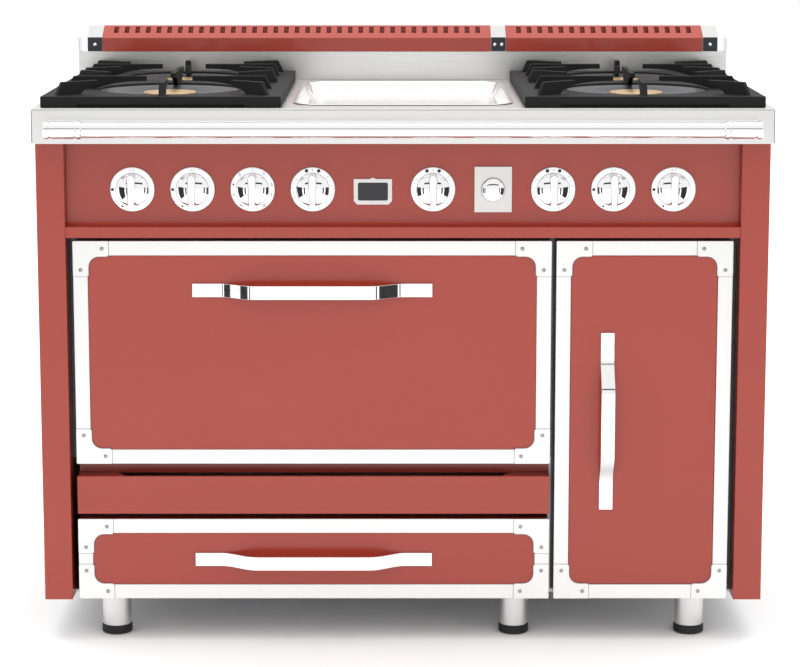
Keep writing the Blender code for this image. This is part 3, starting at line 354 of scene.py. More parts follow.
def surface_group():
    """Uneven tone, roughness and fine relief, from noise at a chosen scale."""
    group, start, end = node_group(
        "surface_finish",
        [("Vector", "NodeSocketVector", None), ("Colour", "NodeSocketColor", None),
         ("Worn colour", "NodeSocketColor", None), ("Scale", "NodeSocketFloat", 60.0),
         ("Patch scale", "NodeSocketFloat", 4.0), ("Roughness", "NodeSocketFloat", 0.3),
         ("Spread", "NodeSocketFloat", 0.1), ("Relief", "NodeSocketFloat", 0.1),
         ("Depth", "NodeSocketFloat", 0.0002)],
        [("Colour", "NodeSocketColor"), ("Roughness", "NodeSocketFloat"), ("Normal", "NodeSocketVector")])
    take = start.outputs
    fine = noise_node(group, take["Vector"], take["Scale"])
    patch = noise_node(group, take["Vector"], take["Patch scale"], 2.0)
    both = math_node(group, "ADD", math_node(group, "MULTIPLY", fine, FINE_SHARE),
                     math_node(group, "MULTIPLY", patch, 1 - FINE_SHARE))
    toned = mix_colours(group, both, take["Colour"], take["Worn colour"])
    swing = math_node(group, "MULTIPLY", math_node(group, "SUBTRACT", both, 0.5), take["Spread"])
    rough = math_node(group, "ADD", take["Roughness"], math_node(group, "MULTIPLY", swing, 2.0), clamp=True)
    bump = group.nodes.new("ShaderNodeBump")
    group.links.new(take["Relief"], bump.inputs["Strength"])
    group.links.new(take["Depth"], bump.inputs["Distance"])
    group.links.new(fine, bump.inputs["Height"])
    group.links.new(toned, end.inputs["Colour"])
    group.links.new(rough, end.inputs["Roughness"])
    group.links.new(bump.outputs["Normal"], end.inputs["Normal"])
    return group


def cell_group():
    """Sharp-edged cells, as zinc spangle or enamel flecks: one colour, with some cells of another."""
    group, start, end = node_group(
        "cells",
        [("Vector", "NodeSocketVector", None), ("Colour", "NodeSocketColor", None),
         ("Cell colour", "NodeSocketColor", None), ("Scale", "NodeSocketFloat", 200.0),
         ("Share", "NodeSocketFloat", 0.5)],
        [("Colour", "NodeSocketColor"), ("Mask", "NodeSocketFloat")])
    cells = group.nodes.new("ShaderNodeTexVoronoi")
    group.links.new(start.outputs["Vector"], cells.inputs["Vector"])
    group.links.new(start.outputs["Scale"], cells.inputs["Scale"])
    split = group.nodes.new("ShaderNodeSeparateColor")
    group.links.new(cells.outputs["Color"], split.inputs["Color"])
    mask = math_node(group, "MULTIPLY", split.outputs[0], start.outputs["Share"], clamp=True)
    toned = mix_colours(group, mask, start.outputs["Colour"], start.outputs["Cell colour"])
    group.links.new(toned, end.inputs["Colour"])
    group.links.new(mask, end.inputs["Mask"])
    return group


def make_look(name, base, worn=0.94, metallic=0.0, roughness=0.3, spread=0.05, scale=60.0, patch=4.0,
              stretch=(1, 1, 1), relief=0.1, depth=0.0002, coat=0.0, coat_roughness=0.05, specular=0.5,
              cells=None):
    """One finish: a Principled shader fed by the shared groups."""
    material = bpy.data.materials.new(name)
    material.use_nodes = True
    tree = material.node_tree
    shader = tree.nodes["Principled BSDF"]
    place = tree.nodes.new("ShaderNodeTexCoord")
    stretched = tree.nodes.new("ShaderNodeMapping")
    stretched.inputs["Scale"].default_value = stretch
    tree.links.new(place.outputs["Object"], stretched.inputs["Vector"])
    finish = tree.nodes.new("ShaderNodeGroup")
    finish.node_tree = bpy.data.node_groups["surface_finish"]
    values = {"Scale": scale, "Patch scale": patch, "Roughness": roughness, "Spread": spread,
              "Relief": relief, "Depth": depth}
    for label, value in values.items():
        finish.inputs[label].default_value = value
    tree.links.new(stretched.outputs["Vector"], finish.inputs["Vector"])
    finish.inputs["Colour"].default_value = (*base, 1.0)
    finish.inputs["Worn colour"].default_value = (*[c * worn for c in base], 1.0)
    if cells:
        cell = tree.nodes.new("ShaderNodeGroup")
        cell.node_tree = bpy.data.node_groups["cells"]
        cell.inputs["Scale"].default_value, cell.inputs["Share"].default_value = cells[0], cells[1]
        cell.inputs["Colour"].default_value = (*base, 1.0)
        cell.inputs["Cell colour"].default_value = (*cells[2], 1.0)
        tree.links.new(place.outputs["Object"], cell.inputs["Vector"])
        tree.links.new(cell.outputs["Colour"], finish.inputs["Colour"])
    tree.links.new(finish.outputs["Colour"], shader.inputs["Base Color"])
    tree.links.new(finish.outputs["Roughness"], shader.inputs["Roughness"])
    tree.links.new(finish.outputs["Normal"], shader.inputs["Normal"])
    shader.inputs["Metallic"].default_value = metallic
    shader.inputs["Specular IOR Level"].default_value = specular
    shader.inputs["Coat Weight"].default_value = coat
    shader.inputs["Coat Roughness"].default_value = coat_roughness


def make_looks():
    """Every finish of the range."""
    tones = bpy.context.scene.range_colours
    surface_group()
    cell_group()
    # painted light: the griddle takes the polished steel colour made 6% brighter, standing in for the stronger
    # light on it
    bright = [min(1.0, c * 1.06) for c in tones.polished]
    make_look("gloss_paint", tones.paint, 0.90, roughness=0.34, spread=0.04, scale=900, patch=2.5,
              relief=0.05, depth=0.00006, coat=0.40, coat_roughness=0.06)
    make_look("brushed_steel_x", tones.stainless, 0.88, 1.0, 0.30, 0.10, 500, 8, (0.02, 1, 1), 0.25,
              0.00004)
    make_look("brushed_steel_z", tones.stainless, 0.88, 1.0, 0.32, 0.10, 500, 8, (1, 1, 0.02), 0.25,
              0.00004)
    make_look("polished_steel", tones.polished, 0.97, 1.0, 0.20, 0.04, 300, 5, relief=0.08, depth=0.00003)
    make_look("griddle_steel", bright, 0.98, 1.0, 0.20, 0.08, 420, 6, (1, 0.04, 1), 0.2, 0.00004)
    make_look("bright_strap", tones.polished, 0.98, 1.0, 0.09, 0.02, 200, 6, relief=0.04, depth=0.00003)
    make_look("chrome_plate", tones.chrome, 0.98, 1.0, 0.045, 0.02, 150, 6, relief=0.02, depth=0.00003)
    make_look("bezel_plate", [c * 0.93 for c in tones.chrome], 0.96, 1.0, 0.20, 0.04, 400, 30,
              relief=0.04, depth=0.00003)
    make_look("cast_iron", tones.iron, 1.6, 0.0, 0.38, 0.10, 600, 14, relief=0.40, depth=0.0004,
              specular=0.8)
    make_look("iron_dish", [c * 2.4 for c in tones.iron], 1.25, 0.0, 0.34, 0.06, 500, 12, relief=0.15,
              depth=0.0002, specular=0.4)
    make_look("brass_cap", tones.brass, 0.92, 1.0, 0.32, 0.08, 300, 30, relief=0.1, depth=0.0001)
    make_look("brass_rim", [c * 0.62 for c in tones.brass], 0.8, 1.0, 0.36, 0.08, 300, 30, relief=0.1,
              depth=0.0001)
    make_look("oven_enamel", tones.enamel, 1.1, 0.0, 0.26, 0.05, 250, 6, relief=0.15, depth=0.0002,
              coat=0.4, coat_roughness=0.1, cells=(420, 0.35, (0.16, 0.18, 0.24)))
    # dark grey for the rail's end seams, and for the painted shadow round each corner plate
    make_look("joint_line", [c * 0.25 for c in tones.polished], 0.9, 0.6, 0.5, 0.05, 500, 10, relief=0.05,
              depth=0.00005)
    make_look("screw_steel", [c * 0.45 for c in tones.polished], 0.8, 1.0, 0.28, 0.05, 500, 40, relief=0.1,
              depth=0.00005)
    # dark print of the marks and badge, the dark bracket fronts, and the painted shade ring round each knob
    make_look("dark_print", tones.enamel, 1.1, 0.0, 0.45, 0.05, 900, 40, relief=0.05, depth=0.00005)
    make_look("zinc_sheet", tones.galvanised, 0.85, 1.0, 0.42, 0.10, 90, 10, relief=0.1, depth=0.0001,
              cells=(70, 0.5, (0.62, 0.63, 0.65)))
    make_look("satin_plate", tones.faceplate, 0.97, 0.25, 0.34, 0.04, 500, 10, relief=0.06, depth=0.00005)
    make_look("ribbed_base", tones.rubber, 1.4, 0.0, 0.55, 0.08, 400, 20, relief=0.3, depth=0.0002)
    make_look("rope_gasket", (0.035, 0.035, 0.036), 0.5, 0.0, 0.9, 0.05, 900, 300, relief=0.9,
              depth=0.0008)


# ---- Pieces
def span(node, axis):
    """Lowest and highest place of a node along an axis: 0 for X, 1 for Y, 2 for Z."""
    low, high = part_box(node)
    return low[axis], high[axis]


def middle(node):
    """The middle of a node's box."""
    low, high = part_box(node)
    return (low + high) / 2


def leaf_and_back(node, cut):
    """A door's painted leaf and what is behind it, cut apart at a depth."""
    shapes = []
    for front in (True, False):
        bm = node_shape(node)
        bmesh.ops.bisect_plane(bm, geom=bm.verts[:] + bm.edges[:] + bm.faces[:], dist=1e-6,
                               plane_co=(0, cut, 0), plane_no=(0, 1, 0), clear_outer=front,
                               clear_inner=not front)
        bmesh.ops.holes_fill(bm, edges=[e for e in bm.edges if e.is_boundary])
        shapes.append(bm)
    return shapes


def corner_plate(grow=0.0, thickness=None):
    """An L-shaped plate in the corner above and right of the origin, facing -Y; grow widens it inwards."""
    s = sizes()
    thickness = thickness or s.plate_thickness
    arm, wide = s.plate_arm + grow, s.plate_width + grow
    points = [(0, 0), (arm, 0), (arm, wide), (wide, wide), (wide, arm), (0, arm)]
    bm = outline(points, {0: 0.002, 1: 0.0012, 2: 0.004, 3: s.plate_round, 4: 0.004, 5: 0.0012}, 5)
    push(bm, (0, thickness, 0))
    return move(bm, (0, -thickness, 0))


def screw(radius):
    """A round-headed screw with a socket, facing -Y."""
    profile = [(radius, 0), (radius, 0.15 * radius), (0.85 * radius, 0.32 * radius),
               (0.5 * radius, 0.42 * radius), (0.42 * radius, 0.42 * radius), (0.38 * radius, 0.12 * radius),
               (0, 0.12 * radius)]
    return lathe(profile, facing="-Y", steps=18)


def trim_pieces(body):
    """A door's frame, its four corner plates with a painted shadow line round each, and their screws."""
    s = sizes()
    node = body + "_trim"
    (x0, x1), (z0, z1), face = span(node, 0), span(node, 2), span(node, 1)[0]
    piece(body + "_frame", node_shape(node), "polished_steel", body, node, s.edge)
    plates, painted_shadows, screws = [], [], []
    for x, away_x in ((x0, 1), (x1, -1)):
        for z, away_z in ((z0, 1), (z1, -1)):
            # painted shadow: a slightly larger, very thin dark plate under each corner plate shows as a dark
            # line round it, in place of the shade at its edge
            behind = corner_plate(s.plate_shadow, s.plate_thickness / 4)
            for made, plate in ((plates, corner_plate()), (painted_shadows, behind)):
                bmesh.ops.scale(plate, vec=(away_x, 1, away_z), verts=plate.verts)
                bmesh.ops.recalc_face_normals(plate, faces=plate.faces)
                made.append(move(plate, (x, face, z)))
            along, across = s.plate_arm - s.screw_inset, s.plate_width / 2
            for u, v in ((along, across), (across, along)):
                place = (x + away_x * u, face - s.plate_thickness, z + away_z * v)
                screws.append(move(screw(s.screw_radius), place))
    piece(body + "_corner_plates", gather(plates), "polished_steel", body, edge=0.0004)
    piece(body + "_plate_painted_shadows", gather(painted_shadows), "joint_line", body)
    piece(body + "_trim_screws", gather(screws), "screw_steel", body, angle=30)


def strap(node, tab, bend, upright):
    """A flat strap: tabs at its ends, an S-bend at each, and a grip in front."""
    s = sizes()
    low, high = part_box(node)
    along = 2 if upright else 0
    half, wide = (high[along] - low[along]) / 2, high[0 if upright else 2] - low[0 if upright else 2]
    path = [(-half, 0.0)]
    for i in range(STRAP_STEPS + 1):
        share = i / STRAP_STEPS
        path.append((-half + tab + bend * share, -s.strap_reach * (1 - math.cos(math.pi * share)) / 2))
    path += [(-u, y) for u, y in reversed(path)]
    bm = bmesh.new()
    points = [bm.verts.new((u, y, -wide / 2)) for u, y in path]
    edges = [bm.edges.new(pair) for pair in zip(points, points[1:])]
    moved = bmesh.ops.extrude_edge_only(bm, edges=edges)["geom"]
    bmesh.ops.translate(bm, vec=(0, 0, wide), verts=[v for v in moved if isinstance(v, bmesh.types.BMVert)])
    bmesh.ops.recalc_face_normals(bm, faces=bm.faces)
    bmesh.ops.solidify(bm, geom=bm.faces[:], thickness=s.strap_thickness)
    if upright:
        turn(bm, 90, "Y")
    depth = [v.co.y for v in bm.verts]
    centre = (low + high) / 2
    return move(bm, (centre.x, high.y - max(depth), centre.z))


def gasket(x, z, depth, body):
    """A rope seal round an oven door's liner."""
    thick = 2 * sizes().gasket
    bm = rounded_sheet(x, z, SEAL_ROUND, 6)
    ring = bmesh.ops.inset_region(bm, faces=bm.faces[:], thickness=thick, use_boundary=True,
                                  use_even_offset=True)
    inner = [f for f in bm.faces if f not in set(ring["faces"])]
    bmesh.ops.delete(bm, geom=inner, context="FACES")
    push(bm, (0, thick, 0))
    move(bm, (0, depth, 0))
    piece(body + "_gasket", bm, "rope_gasket", body, edge=0.0016, segments=3)


class GASRANGE_OT_doors(bpy.types.Operator):
    """Build the two oven doors and the drawer, with trim, corner plates, screws, handles and seals"""

    bl_idname = "gas_range.doors"
    bl_label = "Doors and drawer"

    def execute(self, context):
        s = sizes()
        backs = {"oven_door": ("liner", "oven_enamel", "enamel"),
                 "side_door": ("liner", "oven_enamel", "enamel"), "drawer": ("box", "zinc_sheet", "galvanised")}
        rear = span("oven_cavity", 1)[0] - DOOR_GAP
        for body, (part, look, slot) in backs.items():
            leaf, back = leaf_and_back(body, rear - LEAF_LAP)
            piece(body + "_leaf", leaf, "gloss_paint", body, body, s.fold, 3)
            piece(f"{body}_{part}", back, look, body, edge=0.001)
            trim_pieces(body)
            handle = body + "_handle"
            piece(body + "_strap", strap(handle, *STRAPS[body]), "bright_strap", body,
                  handle, s.edge, angle=60)
        for body, cavity in (("oven_door", "oven_cavity"), ("side_door", "side_oven_cavity")):
            rack = span(cavity.replace("cavity", "rack"), 0)
            spread = RACK_GAP + SEAL_SPREAD
            x = (rack[0] - spread, rack[1] + spread)
            low = span(cavity, 2)[0] + LINER_FOOT - SEAL_SPREAD
            high = span(cavity, 2)[1] - LINER_HEAD + SEAL_SPREAD
            gasket(x, (low, high), rear, body)
        return {"FINISHED"}


class GASRANGE_OT_body(bpy.types.Operator):
    """Build the side panels, feet, back sheet details and vent bar, and finish the inner pieces"""

    bl_idname = "gas_range.body"
    bl_label = "Body and feet"

    def execute(self, context):
        s = sizes()
        for side in ("left", "right"):
            node = "side_panel_" + side
            piece(side + "_side_panel", node_shape(node), "gloss_paint", "range", node, s.fold,
                  3)
        kept = {"chassis": "zinc_sheet", "back_panel": "zinc_sheet", "gas_manifold": "brass_cap",
                "oven_cavity": "oven_enamel", "side_oven_cavity": "oven_enamel"}
        for node, look in kept.items():
            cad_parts[node].data.materials.clear()
            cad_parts[node].data.materials.append(bpy.data.materials[look])
        piece("vent_bar_below_oven", node_shape("vent_panel"), "gloss_paint", "range",
              "vent_panel", s.edge)
        for node in [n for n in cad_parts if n.startswith("foot_")]:
            self.foot(node)
        self.back_details()
        return {"FINISHED"}

    def foot(self, node):
        """A steel sleeve on a ribbed base."""
        place, r, base = (middle(node).x, middle(node).y, 0), FOOT_RADIUS, FOOT_BASE
        sleeve = [(r - 0.0012, base), (r, base + 0.0012), (r, span(node, 2)[1])]
        piece(node + "_sleeve", lathe(sleeve, place), "brushed_steel_z", "range", node)
        ribs = [(r - 0.002, 0), (r + 0.0005, 0.0012)]
        for i in range(FOOT_RIBS):
            at = 0.0025 + i * FOOT_RIB_PITCH
            ribs += [(r + 0.0015, at), (r + 0.0015, at + 0.0014), (r + 0.0003, at + 0.0018),
                     (r + 0.0003, at + 0.0026)]
        ribs += [(r - 0.001, base)]
        piece(node + "_base", lathe(ribs, place), "ribbed_base", "range", angle=25)

    def back_details(self):
        """Pressed ribs and screws on the back sheet."""
        (x0, x1), (z0, z1), rear = span("back_panel", 0), span("back_panel", 2), span("back_panel", 1)[1]
        ribs, screws = [], []
        for i in range(BACK_RIBS):
            z = z0 + BACK_RIB_START + i * BACK_RIB_PITCH
            rib = rounded_sheet((x0 + BACK_RIB_INSET, x1 - BACK_RIB_INSET), (z, z + BACK_RIB_WIDTH), 0.0085, 5)
            push(rib, (0, BACK_RIB_DEPTH, 0))
            ribs.append(move(rib, (0, rear - 2 * LAP, 0)))
        for i in range(BACK_SCREWS):
            x = x0 + BACK_SCREW_INSET + i * (x1 - x0 - 2 * BACK_SCREW_INSET) / (BACK_SCREWS - 1)
            for z in (z0 + BACK_SCREW_EDGE, z1 - BACK_SCREW_EDGE):
                screws.append(move(turn(screw(BACK_SCREW_RADIUS), 180, "Z"), (x, rear, z)))
        piece("back_ribs", gather(ribs), "zinc_sheet", "range", edge=0.0015, segments=3)
        piece("back_screws", gather(screws), "chrome_plate", "range", angle=30)


class GASRANGE_OT_racks(bpy.types.Operator):
    """Build the wire racks of both ovens"""

    bl_idname = "gas_range.racks"
    bl_label = "Oven racks"

    def execute(self, context):
        r = sizes().wire
        for node in ("oven_rack", "side_oven_rack"):
            low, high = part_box(node)
            z = (low.z + high.z) / 2
            x0, x1, y0, y1 = low.x + r, high.x - r, low.y + r, high.y - r
            bars = [rod((x0, y, z), (x1, y, z), r) for y in (y0, (y0 + y1) / 2, y1)]
            bars += [rod((x, y0, z), (x, y1, z), r) for x in (x0, x1)]
            count = round((x1 - x0) / RACK_PITCH)
            for i in range(1, count):
                x = x0 + (x1 - x0) * i / count
                bars.append(rod((x, y0, z + 0.0004), (x, y1, z + 0.0004), r * 0.75, 10))
            piece(node + "_wires", gather(bars), "chrome_plate", "range", node, angle=40)
        return {"FINISHED"}


class GASRANGE_OT_controls(bpy.types.Operator):
    """Build the control panel, badge, bezels with their marks, knobs and the push button"""

    bl_idname = "gas_range.controls"
    bl_label = "Controls"

    MARKS = {
        "burner": [(270, "dot", 2.6), (211, "dot", 1.7), (356, "dash", 3.0), (4, "dash", 3.0)],
        "mode": [(0, "dash", 4), (35, "ring", 3), (75, "bars", 2), (105, "bars", 1), (145, "bars", 3),
                 (215, "bars", 2), (255, "ring", 3), (285, "square", 3), (320, "ring", 3)],
        "heat": [(342, "dot", 3.0), (18, "dot", 3.0), (0, "dash", 4)]
        + [(angle, "dash", 4.5) for angle in range(50, 330, 28)]
        + [(angle, "dash", 2.2) for angle in range(64, 310, 28)],
    }

    def execute(self, context):
        s = sizes()
        piece("control_fascia", node_shape("control_panel"), "gloss_paint", "range",
              "control_panel", s.edge)
        for node in [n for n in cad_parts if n.startswith("bezel_")]:
            name = node[len("bezel_"):]
            family = "burner" if name.startswith("burner") else "mode" if name == "oven_mode" else "heat"
            self.bezel(node, name, family)
            self.knob("knob_" + name)
        self.switch()
        self.badge()
        return {"FINISHED"}

    def bezel(self, node, name, family):
        """A chrome dial plate with a painted shade ring round the knob in place of a groove, and its marks."""
        low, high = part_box(node)
        centre, thick, r = middle(node), high.y - low.y, (high.x - low.x) / 2
        place = (centre.x, high.y, centre.z)
        profile = [(BEZEL_HOLE, 0), (r - 0.0008, 0), (r, 0.0008), (r, thick - 0.0014),
                   (r - 0.0006, thick - 0.0005), (r - 0.0018, thick), (BEZEL_HOLE, thick)]
        piece(name + "_bezel", ring_lathe(profile, place, "-Y", 72), "bezel_plate", "range", node,
              angle=40)
        # painted shade: a thin dark ring where the groove round the knob would be shaded
        line, inner, ink = BEZEL_SHADE_RING, BEZEL_SHADE_RING - BEZEL_SHADE_RING_WIDTH, sizes().ink
        ring = [(inner, -LAP), (line, -LAP), (line, ink), (inner, ink)]
        shapes = [ring_lathe(ring, (centre.x, low.y, centre.z), "-Y", 64)]
        for angle, kind, size in self.MARKS[family]:
            shapes += self.mark(kind, size * 0.001, math.radians(angle), centre, low.y)
        piece(name + "_marks", gather(shapes), "dark_print", "range")

    def mark(self, kind, size, angle, centre, face):
        """One printed mark on a bezel: clockwise angle from the top."""
        ink, radius = sizes().ink, MARK_RADIUS
        shapes = []
        if kind == "dot":
            shapes.append(lathe([(size, -LAP), (size, ink)], facing="-Y", steps=20))
        elif kind == "ring":
            shapes.append(ring_lathe([(size * 0.35, -LAP), (size * 0.6, -LAP), (size * 0.6, ink),
                                      (size * 0.35, ink)], facing="-Y", steps=16))
        elif kind == "square":
            shapes.append(block((-size * 0.5, -ink, -size * 0.5), (size * 0.5, LAP, size * 0.5)))
        elif kind == "dash":
            shapes.append(block((-0.0003, -ink, -size / 2), (0.0003, LAP, size / 2)))
        else:
            for i in range(round(size * 1000)):
                at = (i - (size * 1000 - 1) / 2) * 0.0018
                shapes.append(block((-0.0032, -ink, at - 0.0004), (0.0032, LAP, at + 0.0004)))
        for bm in shapes:
            turn(bm, math.degrees(angle), "Y")
            move(bm, (centre.x + radius * math.sin(angle), face, centre.z + radius * math.cos(angle)))
        return shapes

    def knob(self, node):
        """A domed chrome knob with a tapered lever across it."""
        low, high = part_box(node)
        x, z = (low.x + high.x) / 2, (low.z + high.z) / 2
        start = span(node.replace("knob_", "bezel_"), 1)[0] - KNOB_LIFT
        r, rise = (high.x - low.x) / 2 - 0.0008, KNOB_RISE
        ball = (r * r + rise * rise) / (2 * rise)
        angles = [math.asin(r / ball) * (1 - step / KNOB_STEPS) for step in range(KNOB_STEPS + 1)]
        dome = [(0, 0), (r, 0)]
        dome += [(ball * math.sin(a), KNOB_EDGE + rise - ball + ball * math.cos(a)) for a in angles]
        piece(node + "_dome", lathe(dome, (x, start, z), "-Y", 72), "chrome_plate", node, node,
              angle=35)
        half = (high.z - low.z) / 2 - 0.0004
        corners = [(-LEVER_FOOT, -half), (LEVER_FOOT, -half), (LEVER_HEAD, half), (-LEVER_HEAD, half)]
        bm = outline(corners, {0: 0.003, 1: 0.003, 2: 0.0078, 3: 0.0078}, 7)
        crown = push(bm, (0, -(start - low.y) + 0.002, 0))
        verts = {v for f in crown for v in f.verts}
        bmesh.ops.scale(bm, vec=(0.78, 1, 0.97), verts=list(verts))
        move(bm, (x, start - 0.002, z))
        piece(node + "_lever", bm, "chrome_plate", node, edge=0.0014, segments=3)

    def switch(self):
        """The satin plate and its domed chrome button."""
        piece("push_button_plate", node_shape("switch_plate"), "satin_plate", "range",
              "switch_plate", sizes().edge, 3)
        low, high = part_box("switch_button")
        centre, r = middle("switch_button"), (high.x - low.x) / 2
        rear = high.y
        front = rear - low.y
        profile = [(0, 0), (r, 0), (r, front - 0.0062), (r - 0.0006, front - 0.0050),
                   (r - 0.0024, front - 0.0044), (r - 0.0030, front - 0.0036), (r * 0.62, front - 0.0014),
                   (r * 0.3, front - 0.0003), (0, front)]
        piece("push_button_dome", lathe(profile, (centre.x, rear, centre.z), "-Y", 72), "chrome_plate",
              "switch_button", "switch_button", angle=35)

    def badge(self):
        """A plain plate with a dark field and a low crest, with nothing on it."""
        s = sizes()
        x = (middle("bezel_oven_heat").x + middle("bezel_griddle").x) / 2
        z = middle("bezel_griddle").z - 0.004
        face = span("bezel_griddle", 1)[1]
        w, h, c, border = s.badge_width / 2, s.badge_height / 2, BADGE_CHAMFER, BADGE_BORDER
        points = [(-w, h), (-w, -h + c), (-w + c, -h), (w - c, -h), (w, -h + c), (w, h), (c, h),
                  (0.0, h + BADGE_CREST), (-c, h)]
        plate = outline(points)
        push(plate, (0, -BADGE_THICK, 0))
        piece("badge_plate", move(plate, (x, face, z)), "satin_plate", "range", edge=0.0005)
        field = rounded_sheet((-w + border, w - border), (-h + border, h - c), 0.003, 5)
        push(field, (0, -BADGE_FIELD, 0))
        piece("badge_field", move(field, (x, face - BADGE_THICK + 2 * LAP, z)), "dark_print", "range",
              edge=0.0002)


class GASRANGE_OT_hob(bpy.types.Operator):
    """Build the hob top, towel bar, griddle, burners and grates"""

    bl_idname = "gas_range.hob"
    bl_label = "Hob"

    def execute(self, context):
        s = sizes()
        piece("hob_top", node_shape("hob_deck"), "brushed_steel_x", "range", "hob_deck", s.fold, 3)
        (x0, x1), front, (z0, z1) = span("hob_deck", 0), span("hob_deck", 1)[0], span("hob_deck", 2)
        edges = [block((x, front - LAP, z0 + s.fold), (x + RAIL_SEAM, front + s.fold, z1 - 2 * s.fold))
                 for x in (x0 + LAP, x1 - RAIL_SEAM - LAP)]
        piece("rail_end_seams", gather(edges), "joint_line", "range", edge=0.0002)
        self.towel_bar()
        self.griddle()
        for row in ("front", "rear"):
            for side in ("left", "right"):
                self.burner(f"{row}_{side}")
        for side in ("left", "right"):
            self.grate(side)
        return {"FINISHED"}

    def towel_bar(self):
        """A polished bar with grooved ferrules, on two stand-offs."""
        low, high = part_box("towel_bar")
        end, z = high.x, (low.z + high.z) / 2
        f, r = (high.z - low.z) / 2, BAR_RADIUS
        y = low.y + f
        inner, reach = end - FERRULE, high.y - low.y - f
        half = [(r, inner - 0.001), (f - 0.0012, inner), (f, inner + 0.001), (f, inner + 0.007),
                (f - 0.0016, inner + 0.008), (f - 0.0016, inner + 0.0105), (f - 0.0006, inner + 0.0115),
                (f - 0.0006, end - 0.0125), (f - 0.0016, end - 0.0115), (f - 0.0016, end - 0.009),
                (f, end - 0.008), (f, end - 0.0015), (f - 0.0015, end), (0, end)]
        profile = [(radius, -place) for radius, place in reversed(half)] + half
        shapes = [lathe(profile, (0, y, z), "X", 48)]
        for side in (-1, 1):
            x = side * (end - FERRULE / 2)
            collar = [(POST_RADIUS, 0), (POST_RADIUS, reach - 0.004), (POST_FLARE, reach - 0.003),
                      (POST_FLARE, reach)]
            shapes.append(move(turn(lathe(collar, steps=32), -90, "X"), (x, y, z)))
        piece("towel_rail", gather(shapes), "chrome_plate", "range", "towel_bar", angle=35)

    def griddle(self):
        """A sunken steel tray with a soft rim, round corners and a flat plate in its floor."""
        (x0, x1), (y0, y1), (z0, z1) = (span("griddle", i) for i in range(3))
        bm = rounded_sheet((x0, x1), (y0, y1), GRIDDLE_ROUND, 12)
        turn(bm, -90, "X")
        bm.normal_update()
        whole = bm.faces[:]
        if whole[0].normal.z < 0:
            bmesh.ops.reverse_faces(bm, faces=whole)
        depth = z1 - z0 - GRIDDLE_BASE
        rim, foot = 0.0035, 0.005
        for width, drop in ((0.005, 0), (0.0025, rim), (0.0045, depth - rim - foot), (0.005, foot),
                            (0.010, 0), (0.0012, -0.0010)):
            bmesh.ops.inset_region(bm, faces=whole, thickness=width, depth=-drop, use_boundary=True,
                                   use_even_offset=True)
        bmesh.ops.solidify(bm, geom=bm.faces[:], thickness=GRIDDLE_SHEET)
        top = max(v.co.z for v in bm.verts)
        move(bm, (0, 0, z1 - top))
        piece("griddle_tray", bm, "griddle_steel", "range", "griddle", 0.0005, 2, 40)

    def burner(self, name):
        """A dished body, a head with flame ports and a brass cap with a darker rim."""
        s = sizes()
        low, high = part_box("burner_" + name)
        centre, bowl = middle("burner_" + name), (high.x - low.x) / 2
        cap_low, cap_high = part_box("burner_cap_" + name)
        cap = (cap_high.x - cap_low.x) / 2
        deck = span("grate_left", 2)[0]
        head = cap * HEAD_SHARE
        place = (centre.x, centre.y, 0)
        floor, flat = deck + DISH_LIFT, cap + DISH_FLAT
        rim = min(high.z, deck + PLATE_THICK - 0.003)
        slope = [(bowl - 0.002 + (flat - bowl + 0.002) * i / DISH_STEPS,
                  floor + (rim - floor) * (math.cos(math.pi * i / DISH_STEPS) + 1) / 2)
                 for i in range(DISH_STEPS + 1)]
        dish = [(DISH_HOLE, low.z), (DISH_HOLE, deck), (bowl - 0.002, deck), (bowl, deck + 0.002),
                (bowl, rim - 0.0012)]
        dish += slope + [(head + 0.001, floor), (head - 0.001, floor + 0.0006)]
        piece(name + "_dish", lathe(dish, place, steps=96), "iron_dish", "range",
              "burner_" + name, angle=35)
        top, under = cap_high.z, cap_low.z
        crown = [(head * 0.55, floor), (head, floor), (head, under - 0.0002), (head * 0.55, under - 0.0002)]
        shapes = [ring_lathe(crown, place, steps=64)]
        for i in range(s.port_count):
            angle = 360 * i / s.port_count
            tooth = block((head - 0.001, -0.0013, floor + 0.0003), (head + 0.0018, 0.0013, under - 0.0003))
            shapes.append(move(turn(tooth, angle, "Z"), place))
        piece(name + "_head", gather(shapes), "brass_rim", "range")
        lid = [(0, under), (cap * 0.94, under), (cap, under + 0.0014), (cap, top - 0.0026),
               (cap * 0.985, top - 0.0012), (0, top - 0.0012)]
        piece(name + "_cap_rim", lathe(lid, place, steps=72), "brass_rim", "range",
              "burner_cap_" + name, angle=35)
        disc = [(0, top - 0.0013), (cap * 0.965, top - 0.0013), (cap * 0.955, top - 0.0003),
                (cap * 0.90, top), (0, top)]
        piece(name + "_cap", lathe(disc, place, steps=72), "brass_cap", "range", angle=35)
        dots = []
        for angle in (90, 210, 330):
            dot = lathe([(0.0016, 0), (0.0016, 0.0002), (0.0008, 0.0003), (0, 0.0003)], steps=16)
            reach = cap * 0.38
            dots.append(move(dot, (centre.x + reach * math.cos(math.radians(angle)),
                                   centre.y + reach * math.sin(math.radians(angle)), top - 0.0001)))
        piece(name + "_cap_dimples", gather(dots), "brass_rim", "range")

    def fin(self, centre, direction, near, far, base, top):
        """One cast fin: a raked outer end, a level top and an arched underside."""
        reach = far - FIN_ROOT - near
        points = [(far, base), (far - FIN_RAKE, top), (near, top), (near, top - FIN_DROP)]
        for i in range(1, FIN_STEPS + 1):
            share = i / FIN_STEPS
            fall = (top - base - FIN_DROP) * share ** FIN_CURVE
            points.append((near + reach * share, top - FIN_DROP - fall))
        bm = outline(points)
        push(bm, (0, FIN_THICK, 0))
        move(bm, (0, -FIN_THICK / 2, 0))
        turn(bm, math.degrees(direction), "Z")
        return move(bm, centre)

